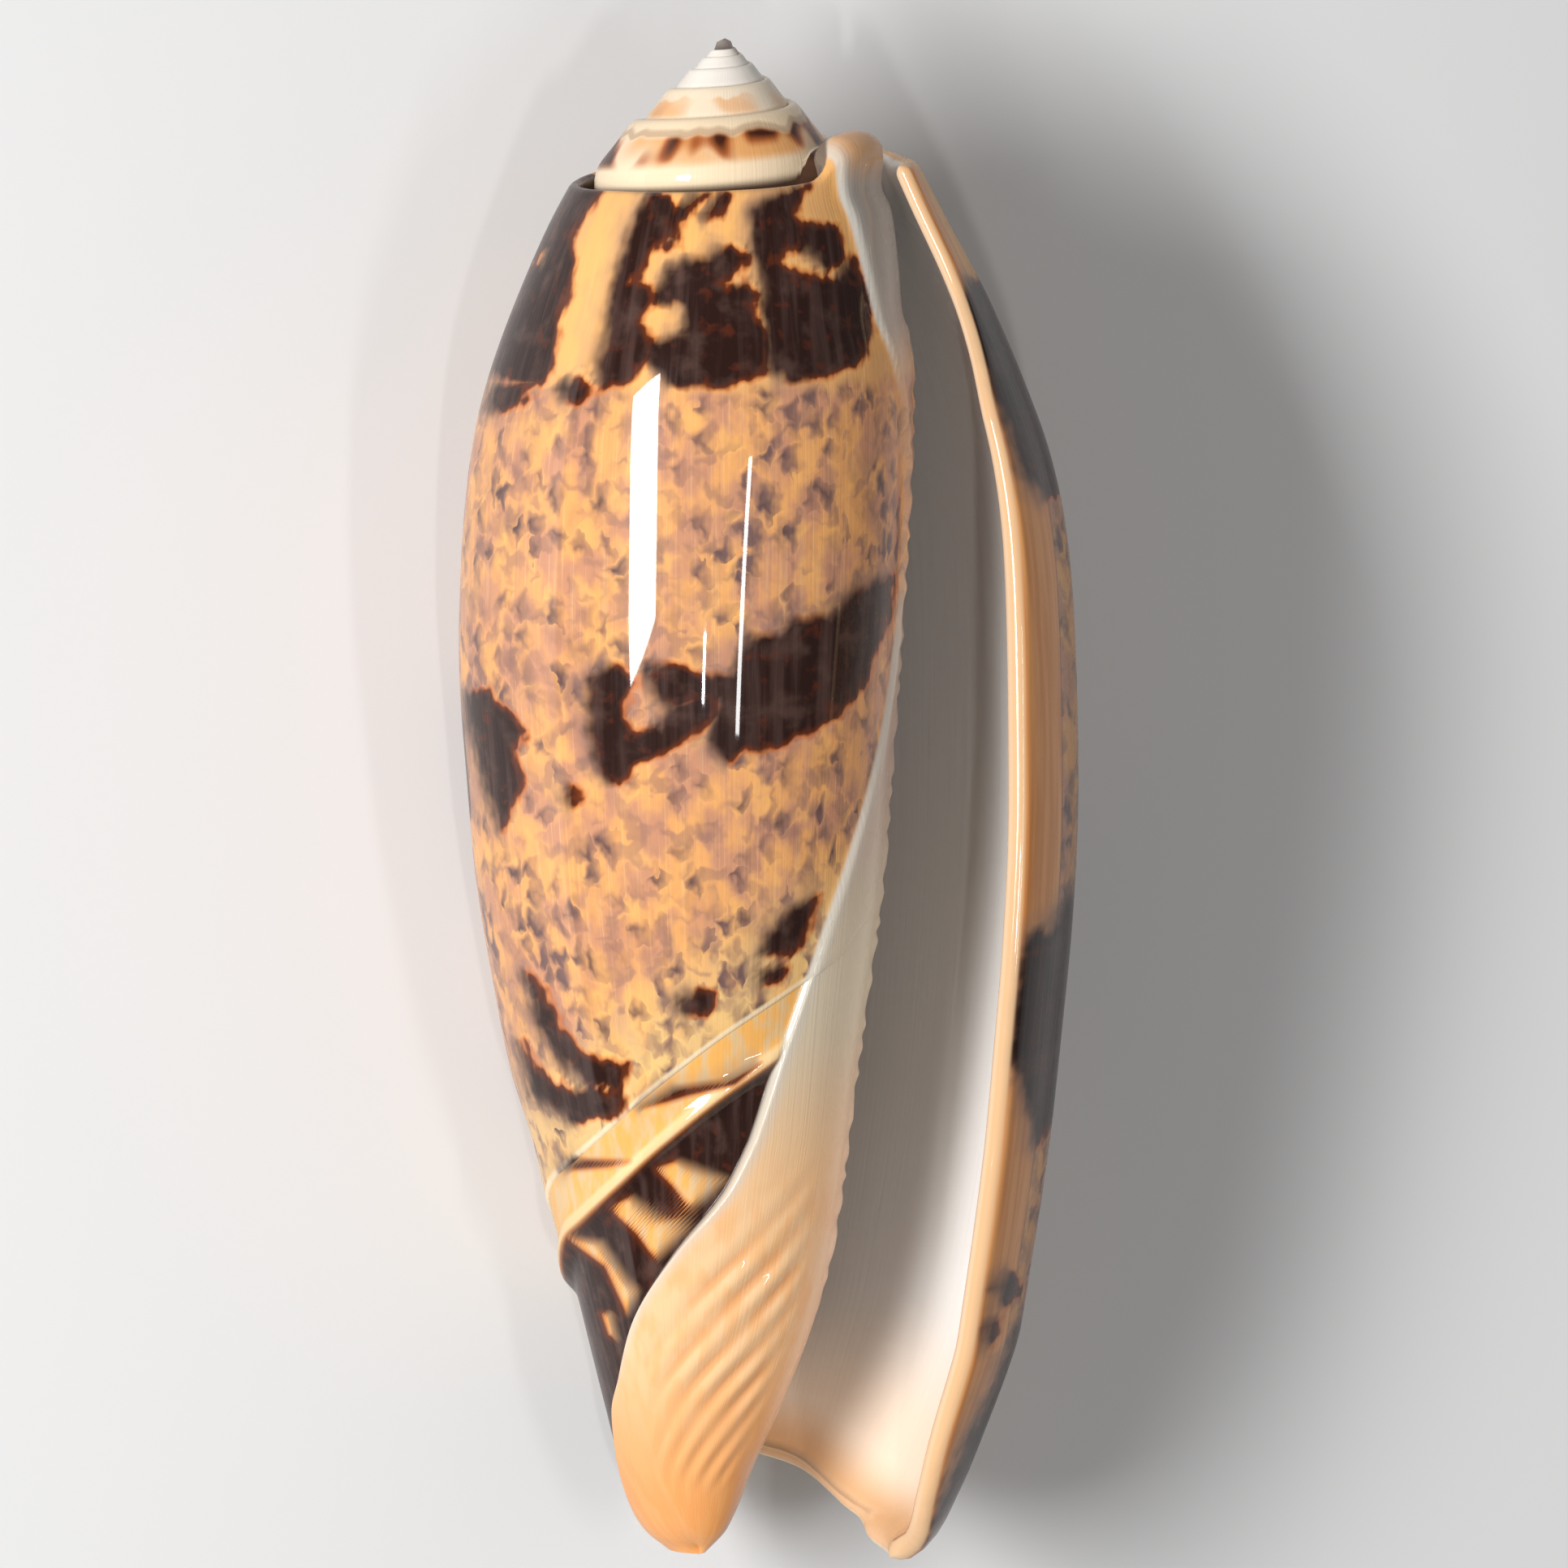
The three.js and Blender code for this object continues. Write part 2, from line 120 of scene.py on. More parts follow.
def bump(x, start, full, fading, end):
    """One between the two middle values, falling to nothing at the outer two."""
    return smoothstep(x, start, full) * (1 - smoothstep(x, fading, end))


def through(points):
    """A smooth curve through given points, level outside them."""
    xs, ys = np.array(points, float).T
    after = np.minimum(np.arange(len(xs)) + 1, len(xs) - 1)
    before = np.maximum(np.arange(len(xs)) - 1, 0)
    slope = (ys[after] - ys[before]) / (xs[after] - xs[before])

    def curve(x):
        t = np.clip(x, xs[0], xs[-1])
        i = np.clip(np.searchsorted(xs, t) - 1, 0, len(xs) - 2)
        w = xs[i + 1] - xs[i]
        u = (t - xs[i]) / w
        u2, u3 = u * u, u * u * u
        return (
            (2 * u3 - 3 * u2 + 1) * ys[i]
            + (u3 - 2 * u2 + u) * w * slope[i]
            + (3 * u2 - 2 * u3) * ys[i + 1]
            + (u3 - u2) * w * slope[i + 1]
        )

    return curve


parietal_side = through([
    (5, 8.9), (6, 8.8), (7.4, 8.5), (8.4, 8.55), (9.4, 9), (12.5, 9.4), (15, 9.6), (17, 10.1),
    (22.4, 10.1), (29.6, 9.7), (38.7, 9.05), (47.8, 8.3), (56.9, 7.05), (66, 5.9), (70.5, 4.9),
    (75.5, 3.05), (79, 1.45), (82.8, -0.15), (84.3, -1.5),
])
left_side = through([
    (4, 6), (7.9, 8.55), (11, 10.2), (16.5, 12.5), (20.5, 13.75), (24.6, 14.45), (30, 14.85),
    (35.5, 14.9), (41, 14.5), (46.5, 14), (52, 13.1), (57.4, 12), (61.5, 10.7), (65.5, 9.75),
    (72.4, 7.9), (76.5, 6.7), (79.2, 5.8), (82, 4.4), (83.4, 3.2), (84.3, 1.5),
])
right_side = through([
    (4, 9.3), (6.6, 10.7), (9.3, 12.1), (13.7, 14.5), (16.5, 15.8), (19.5, 17.05), (22.5, 18.15),
    (26, 19), (30, 19.5), (36, 19.8), (43, 19.87), (49, 19.55), (53.3, 19.15), (61.5, 18.25),
    (69.6, 17), (72.4, 16.45), (77.8, 14.45), (80.5, 13.3), (83.3, 11.75), (85, 9.6),
])
centre_shift = through([(60, 0), (70, -0.8), (76, -1.6), (80, -1.9), (84.3, -1.5)])
rim_depth = through([
    (-200, 9), (-60, 8.6), (-20, 8.8), (0, 7.5), (8, 5.8), (15, 4.9), (35, 4.9), (42, 5.5),
    (48, 6.8), (54, 7.3), (90, 7.6), (135, 7.8), (180, 7.9), (225, 7.4), (270, 6.8), (300, 6.4),
    (340, 6.4), (391, 6.6),
])
edge_depth = through([
    (-200, 48.5), (30, 49.2), (60, 51.2), (87, 53.8), (109, 56.6), (131, 59.6), (150, 61.7),
    (166, 63), (200, 66.2), (230, 70.3), (262, 76.2), (285, 79.8), (305, 81.2), (322, 83.2),
    (345, 84.7), (391, 84.8),
])
lip_turn = through([
    (4, 374), (7, 378), (11, 380), (16, 384), (20, 388), (30, 391), (45, 392), (70, 392),
    (76, 391), (80, 387), (83, 379), (84.4, 370), (85, 364),
])
cavity_end = through([(12, 200), (60, 200), (70, 250), (78, 285), (81, 265), (84.3, 240)])
callus_edge = through([
    (5, 46), (9, 43), (13, 38), (16, 33), (20, 24), (25, 14), (30, 15), (34, 22), (38.7, 32),
    (47.2, 54), (53.8, 68), (62.4, 87), (66.4, 109), (70.2, 131), (74, 150), (76, 166),
    (78.5, 180), (81, 198), (84, 222),
])
fasciole_depth = through([
    (8, 47), (60, 51.2), (87, 53.8), (109, 56.6), (131, 59.6), (150, 61.7), (166, 63),
    (200, 66.2), (240, 66), (330, 50), (368, 47),
])


def whorl_radius(turn, depth):
    """Radius of the growing whorl, smooth over the turns."""
    shift = centre_shift(depth)
    inner = np.maximum(parietal_side(depth) - shift, 0.05)
    left = np.maximum(left_side(depth) + shift, 0.05)
    right = right_side(depth) - shift
    past_lip = right + GROWTH_PAST_LIP * (right - left)
    knots = np.stack([
        INNER_WHORLS[0] * inner, INNER_WHORLS[1] * inner, inner, left, right, past_lip, right,
    ])
    # One knot to each half turn, with the third at turn 0
    place = np.clip(turn / 180 + 2, 1, 4 - 1e-6)
    i = np.floor(place).astype(int)
    u = place - i
    p0, p1, p2, p3 = (np.take_along_axis(knots, (i + k)[None], 0)[0] for k in (-1, 0, 1, 2))
    radius = p1 + 0.5 * u * (
        p2 - p0 + u * (2 * p0 - 5 * p1 + 4 * p2 - p3 + u * (3 * (p1 - p2) + p3 - p0))
    )
    back = np.maximum(0, np.cos(np.radians(turn - BACK_TURN)))
    return radius * (1 - BACK_FLATTENING * back * back)


def outside_radius(turn, depth):
    """Radius of the last whorl, which opens a little and then curls in past the full turn."""
    past = np.maximum(turn - 360, 0) / (LIP_TURN - 360)
    lip = 1 + LIP_FLARE * past - LIP_CURL * past**2
    return whorl_radius(np.minimum(turn, 360 - 1e-3), depth) * lip


def at_turn(turn, depth, radius):
    a = np.radians(turn)
    x = centre_shift(depth) + radius * np.cos(a)
    return np.stack([x, -depth * DEPTH_SCALE, radius * np.sin(a)], -1)


def outside(turn, depth):
    return at_turn(turn, depth, outside_radius(turn, depth))


def outside_normal(turn, depth):
    along_turn = outside(turn + 0.5, depth) - outside(turn - 0.5, depth)
    along_depth = outside(turn, depth + 0.1) - outside(turn, depth - 0.1)
    normal = np.cross(along_turn, along_depth)
    return normal / np.linalg.norm(normal, axis=-1, keepdims=True)


def wall_thickness(turn, depth):
    """Thin inside and along the rims, and thickest at the knob beside the spire."""
    lip = smoothstep(turn, 340, 385)
    knob = bump(turn, -12, 6, 38, 48) * (1 - smoothstep(depth, 10, 18))
    at_rim = (1 - smoothstep(depth - rim_depth(turn), 0, 4)) * (1 - smoothstep(turn, 330, 350))
    at_ridge = (1 - smoothstep(edge_depth(turn) - depth, 0, 5)) * bump(turn, 30, 50, 270, 300)
    wall = lerp(INNER_WALL, WALL, smoothstep(turn, -60, 20))
    at_lip = lerp(UPPER_LIP_WALL, LIP_WALL, smoothstep(depth, 12, 32))
    body = lerp(lerp(wall, at_lip, lip), RIM_WALL, at_rim)
    return lerp(lerp(body, RIDGE_WALL, at_ridge), KNOB_WALL, knob)


def fold_wave(turn, depth):
    """The folds of the columella, from -1 in a groove to 1 on a fold."""
    edge = callus_edge(depth)
    fold_zone = bump(turn, 35, 60, np.minimum(edge - 35, 90), np.minimum(edge - 8, 140))
    phase = (depth - FOLD_SLOPE * turn) / FOLD_SPACING
    uneven = 0.75 + 0.25 * np.sin(1.1 * depth + 0.03 * turn)
    return fold_zone * bump(depth, 60, 68, 77, 81) * uneven * np.cos(2 * np.pi * phase)


def denticle_wave(turn, depth):
    """Fine unequal bumps along the edge of the parietal wall."""
    zone = bump(turn, -34, -16, 10, 22) * bump(depth, 15, 17, 66, 72)
    phase = depth / DENTICLE_SPACING + 0.25 * np.sin(0.9 * depth) + 0.1 * np.sin(2.3 * depth)
    return zone * (0.5 + 0.5 * np.cos(2 * np.pi * phase))


def callus_relief(turn, depth):
    """How far the callus stands proud, with the folds of the columella."""
    edge = callus_edge(depth)
    within = bump(edge - turn, -0.5, 3, edge + 15, edge + 30)
    folds = FOLD_RISE * fold_wave(turn, depth) + DENTICLE_RISE * denticle_wave(turn, depth)
    return within * (CALLUS_RISE + folds)


def fasciole_relief(turn, depth):
    """The sunken band past the first ridge, the second ridge, and the step down from it."""
    beyond = depth - fasciole_depth(turn)
    crest = np.exp(-(((beyond - FASCIOLE_WIDTH) / RIDGE_HALF_WIDTH) ** 2))
    step = smoothstep(beyond, FASCIOLE_WIDTH, FASCIOLE_WIDTH + 1)
    return -FASCIOLE_SINK + RIDGE_RISE * crest - STEP_PAST_RIDGE * step


def core_radius(turn, depth):
    end = cavity_end(depth)
    cavity = smoothstep(turn, end, end + CAVITY_EDGE)
    earlier = whorl_radius(turn - 360, depth)
    covered = 1 - smoothstep(depth, edge_depth(turn) - 1, edge_depth(turn) - 0.2)
    bare = lerp(fasciole_relief(turn, depth), -COVERED_SINK, covered)
    glazed = smoothstep(callus_edge(depth) - turn, -0.5, 2)
    own = outside_radius(turn, depth) + lerp(bare, callus_relief(turn, depth) - SKIN, glazed)
    solid = smoothstep(depth, COLUMELLA_TOP, COLUMELLA_TOP + 3)
    return lerp(PILLAR_RADIUS, lerp(own, earlier, cavity), solid)


def stations(steps, round_steps):
    """Share of the way, and arc of the rounding, from one rounded edge to the other."""
    arcs = np.arange(round_steps) / round_steps * (np.pi / 2)
    share = np.linspace(0, 1, steps + 1)
    return (
        np.concatenate([np.zeros(round_steps), share, np.ones(round_steps)]),
        np.concatenate([arcs, np.full(steps + 1, np.pi / 2), arcs[::-1]]),
    )


def station_value(station, first, last, inset):
    share, arc = station
    depth_in = inset * (1 - np.cos(arc))
    between = lerp(first + inset, last - inset, share)
    at_first = (arc < np.pi / 2) & (share == 0)
    at_last = (arc < np.pi / 2) & (share == 1)
    return np.where(at_first, first + depth_in, np.where(at_last, last - depth_in, between))


# Which surface a point lies on; on the wall, the side runs from 1 outside through 0 on the
# rounded edges to -1 inside
ON_CORE = 2.0
ON_SPIRE = 3.0


class Surface:
    """Points in the coil frame, faces, and the growth coordinates and side of each point."""

    def __init__(self, points, faces, turn, depth, side):
        self.points, self.faces = points, faces
        self.turn, self.depth, self.side = turn, depth, side


def grid_faces(index, flip):
    a, b = index[:-1, :-1], index[:-1, 1:]
    c, d = index[1:, 1:], index[1:, :-1]
    quads = np.stack([a, b, c, d], -1).reshape(-1, 4)
    return quads[:, ::-1] if flip else quads


# The first columns of the wall are wider, because they lie hidden inside
HIDDEN_COLUMNS = 0.2
HIDDEN_SHARE = 0.34
# Turn and depth depend on each other at the edges, and settle within a few passes
FIRST_INSET = 4
WALL_PASSES = 6
CORE_PASSES = 8


def body_wall(turn_steps, depth_steps, round_steps):
    """The last whorl: an outer and an inner sheet, joined by rounded edges."""
    columns = stations(turn_steps, round_steps)
    rows = stations(depth_steps, round_steps)
    share, col_arc = (np.tile(c, (len(rows[0]), 1)) for c in columns)
    past_hidden = (share - HIDDEN_COLUMNS) / (1 - HIDDEN_COLUMNS)
    hidden = share / HIDDEN_COLUMNS * HIDDEN_SHARE
    share = np.where(share < HIDDEN_COLUMNS, hidden, lerp(HIDDEN_SHARE, 1, past_hidden))
    column = (share, col_arc)
    row = tuple(np.tile(r[:, None], (1, len(columns[0]))) for r in rows)
    turn = station_value(column, WALL_START, LIP_TURN, FIRST_INSET)
    for _ in range(WALL_PASSES):
        last = (row[1] < np.pi / 2) & (row[0] == 1)
        at_edge = np.where(last, edge_depth(turn), rim_depth(turn))
        rounding = 0.5 * wall_thickness(turn, at_edge)
        depth = station_value(row, rim_depth(turn), edge_depth(turn), rounding)
        inset = np.degrees(0.5 * wall_thickness(turn, depth) / outside_radius(turn, depth))
        turn = station_value(column, WALL_START, lip_turn(depth), inset)
    half = 0.5 * wall_thickness(turn, depth)
    swell = np.sin(column[1]) * np.sin(row[1])
    relief = callus_relief(turn, depth) * swell
    base, normal = outside(turn, depth), outside_normal(turn, depth)
    outer = base + normal * (half * (swell - 1) + relief)[..., None]
    inner = base + normal * (half * (-swell - 1))[..., None]
    index = np.arange(turn.size).reshape(turn.shape)
    inner_index = index + turn.size
    for edge in (np.s_[0, :], np.s_[-1, :], np.s_[:, 0], np.s_[:, -1]):
        inner_index[edge] = index[edge]
    faces = np.concatenate([grid_faces(index, False), grid_faces(inner_index, True)])
    points = np.concatenate([outer.reshape(-1, 3), inner.reshape(-1, 3)])
    side = np.concatenate([swell.ravel(), -swell.ravel()])
    both_turns, both_depths = np.tile(turn.ravel(), 2), np.tile(depth.ravel(), 2)
    return Surface(points, faces.tolist(), both_turns, both_depths, side)


# The core's columns follow the callus edge and both edges of the cavity, and its rows follow the
# fasciole: shares of the columns and rows, and millimetres above and below the first ridge
SEAM_TURN = -30
CORE_COLUMNS = (0, 0.5, 0.8, 0.9, 1)
CORE_ROWS = (0.1, 0.3)
ABOVE_RIDGE = 1
BELOW_RIDGE = 5
TIP_BOW = 1.35  # the rows lie closer together towards the tip
TIP_TURN = 222


def core(turn_steps, depth_steps):
    """The earlier whorl with the columella, its callus, the fasciole and the tip."""
    column = np.tile(np.arange(turn_steps) / turn_steps, (depth_steps - 1, 1))
    row = np.tile(np.arange(1, depth_steps)[:, None] / depth_steps, (1, turn_steps))
    top, band = CORE_ROWS
    turn = lerp(SEAM_TURN, SEAM_TURN + 360, column)
    for _ in range(CORE_PASSES):
        above = fasciole_depth(turn) - ABOVE_RIDGE
        below = fasciole_depth(turn) + BELOW_RIDGE
        upper = lerp(CORE_TOP, above, 1 - (1 - np.minimum(row / top, 1)) ** 2)
        middle = lerp(above, below, (row - top) / (band - top))
        share = np.sin((row - band) / (1 - band) * TIP_BOW) / math.sin(TIP_BOW)
        lower = lerp(below, TIP_DEPTH, share)
        depth = np.where(row < top, upper, np.where(row < band, middle, lower))
        end = cavity_end(depth)
        seam = np.full_like(turn, SEAM_TURN)
        knots = [seam, callus_edge(depth), end, end + CAVITY_EDGE, seam + 360]
        turn = np.zeros_like(turn)
        for k in range(len(knots) - 1):
            c0, c1 = CORE_COLUMNS[k : k + 2]
            inside = (column >= c0) & (column < c1)
            turn = np.where(inside, lerp(knots[k], knots[k + 1], (column - c0) / (c1 - c0)), turn)
    points = at_turn(turn, depth, core_radius(turn, depth)).reshape(-1, 3)
    tip = [float(centre_shift(TIP_DEPTH)), -TIP_DEPTH * DEPTH_SCALE, 0]
    ends = np.array([[0, -CORE_TOP * DEPTH_SCALE, 0], tip])
    index = np.arange(turn.size).reshape(turn.shape)
    index = np.concatenate([index, index[:, :1]], 1)
    faces = grid_faces(index, False).tolist()
    first, last = turn.size, turn.size + 1
    for a, b in zip(index[0, :-1].tolist(), index[0, 1:].tolist()):
        faces.append([first, b, a])
    for a, b in zip(index[-1, :-1].tolist(), index[-1, 1:].tolist()):
        faces.append([last, a, b])
    turns = np.append(turn.ravel(), [0, TIP_TURN])
    depths = np.append(depth.ravel(), [CORE_TOP, TIP_DEPTH])
    side = np.full(len(turns), ON_CORE)
    return Surface(np.concatenate([points, ends]), faces, turns, depths, side)


# Radius and depth of one whorl of the spire, from 0 at a suture to 5 at the next one, on the
# left side of the last whorl
spire_profile = through([(0, 4.3), (1, 4.6), (2, 5.2), (3, 6.2), (4, 7.05), (5, 7.3)])
spire_drop = through([(0, 5), (1, 4.5), (2, 4.65), (3, 5.9), (4, 7), (5, 7.8)])
SLOPE_STEPS = 25
DOME_REACH = 0.72
DOME_DROP = 0.3
# The channel between the spire and the last whorl: the depth where its width is taken, how deep
# it is beside the parietal wall, and the gaps that its sides keep
CHANNEL_LEVEL = np.array(9.0)
PARIETAL_CHANNEL_DEPTH = 11
SPIRE_GAP = 0.4
FLOOR_GAP = 0.3
FOOT_GAP = 0.2
FOOT_STEP = 0.02
# Where the channel's points lie along the slope
CHANNEL_FOOT = 5.5
CHANNEL_FLOOR = 6


def channel_depth(turn):
    at_parietal = smoothstep(turn, -50, -15)
    return lerp(rim_depth(turn + 360) + CHANNEL_DEPTH, PARIETAL_CHANNEL_DEPTH, at_parietal)


def spire_slope(turn):
    """Radius, depth and place along one slope, cut off at the channel on the last turn."""
    scale = SPIRE_GROWTH ** ((turn + 180) / 360)
    along = np.linspace(0, 5, SLOPE_STEPS + 1)
    radius, depth = spire_profile(along) * scale, spire_drop(along) * scale
    if turn > SPIRE_END - 360:
        deepest = float(channel_depth(turn)) - FOOT_GAP
        past = np.nonzero((depth > deepest) & (along > 1))[0]
        if len(past):
            k = past[0] - 1
            share = (deepest - depth[k]) / (depth[k + 1] - depth[k])
            foot = radius[k] + share * (radius[k + 1] - radius[k])
            radius[past] = foot + FOOT_STEP * np.arange(1, len(past) + 1)
            depth[past] = deepest
    if turn > -90:
        parietal = float(whorl_radius(np.array(turn), CHANNEL_LEVEL))
        radius = np.minimum(radius, parietal - SPIRE_GAP)
    return list(zip(radius.tolist(), depth.tolist(), along.tolist()))


def spire(per_turn):
    """The stepped cone of the earlier whorls, with the channel round its foot."""
    steps = round((SPIRE_END - SPIRE_START) / 360 * per_turn)
    open_from = steps - per_turn
    turn_at = [SPIRE_END + 360 * (i - steps) / per_turn for i in range(steps + 1)]
    points, turns, alongs, faces = [], [], [], []

    def add(turn, depth, radius, along):
        a = math.radians(turn)
        points.append((radius * math.cos(a), -depth * DEPTH_SCALE, radius * math.sin(a)))
        turns.append(turn)
        alongs.append(along)
        return len(points) - 1

    columns = [[add(t, d, r, s) for r, d, s in spire_slope(t)] for t in turn_at]
    channels = []
    for turn in turn_at[open_from:]:
        at_wall = (np.array(turn + 360.0), CHANNEL_LEVEL)
        wall = float(outside_radius(*at_wall) - 0.5 * wall_thickness(*at_wall))
        parietal = float(whorl_radius(np.array(turn), CHANNEL_LEVEL)) - FLOOR_GAP
        floor = lerp(wall, parietal, float(smoothstep(turn, -50, -20)))
        foot = min(spire_slope(turn)[-1][0], floor - FOOT_GAP)
        depth = float(channel_depth(turn))
        channels.append([
            add(turn, depth, foot, CHANNEL_FOOT), add(turn, depth, floor, CHANNEL_FLOOR),
        ])
    apex = add(0, 0, 0, 0)
    bottom = add(0, CORE_TOP + 4, 0, CHANNEL_FLOOR)

    def closed_column(i):
        return columns[i] + [columns[i + per_turn][0]]

    def open_column(i):
        return columns[i] + channels[i - open_from]

    def strip(near, far):
        for j in range(len(near) - 1):
            faces.append([near[j], far[j], far[j + 1], near[j + 1]])

    for i in range(open_from):
        strip(closed_column(i), closed_column(i + 1))
    for i in range(open_from, steps):
        strip(open_column(i), open_column(i + 1))
    # The first whorl is closed by a small dome
    dome = []
    for i in range(per_turn + 1):
        radius, depth, _ = spire_slope(turn_at[i])[0]
        dome.append(add(turn_at[i], DOME_DROP * depth, DOME_REACH * radius, 0))
    for i in range(per_turn):
        faces.append([dome[i], dome[i + 1], columns[i + 1][0], columns[i][0]])
        faces.append([apex, dome[i + 1], dome[i]])
    first = closed_column(0)
    faces.append([apex, dome[0], dome[-1]])
    faces.append([dome[0], *first, dome[-1]])
    rim = [c[1] for c in channels] + open_column(steps)[:-1][::-1]
    rim += open_column(open_from)[SLOPE_STEPS:-1]
    for k, point in enumerate(rim):
        faces.append([bottom, point, rim[(k + 1) % len(rim)]])
    side = np.full(len(points), ON_SPIRE)
    return Surface(np.array(points), faces, np.array(turns), np.array(alongs), side)


def lay_down(points, cad_low, cad_high):
    """From the coil frame, in millimetres, to the row frame, in metres, lying on the flat spot."""
    down = Vector((0, 0, -1))
    down.rotate(Quaternion((0, 1, 0), math.radians(REST_ROLL)))
    down.rotate(Quaternion((1, 0, 0), math.radians(REST_PITCH)))
    turn = down.rotation_difference(Vector((0, 0, -1)))
    laid = points @ np.array(turn.to_matrix()).T
    low, high = laid.min(0), laid.max(0)
    centre = (np.array(cad_low) + np.array(cad_high)) / 2
    place = centre / MM - (low + high) / 2
    place[2] = -low[2] - FLAT_SPOT_DEPTH
    laid = (laid + place) * MM
    laid[:, 2] = np.maximum(laid[:, 2], 0)
    return laid, turn, place * MM


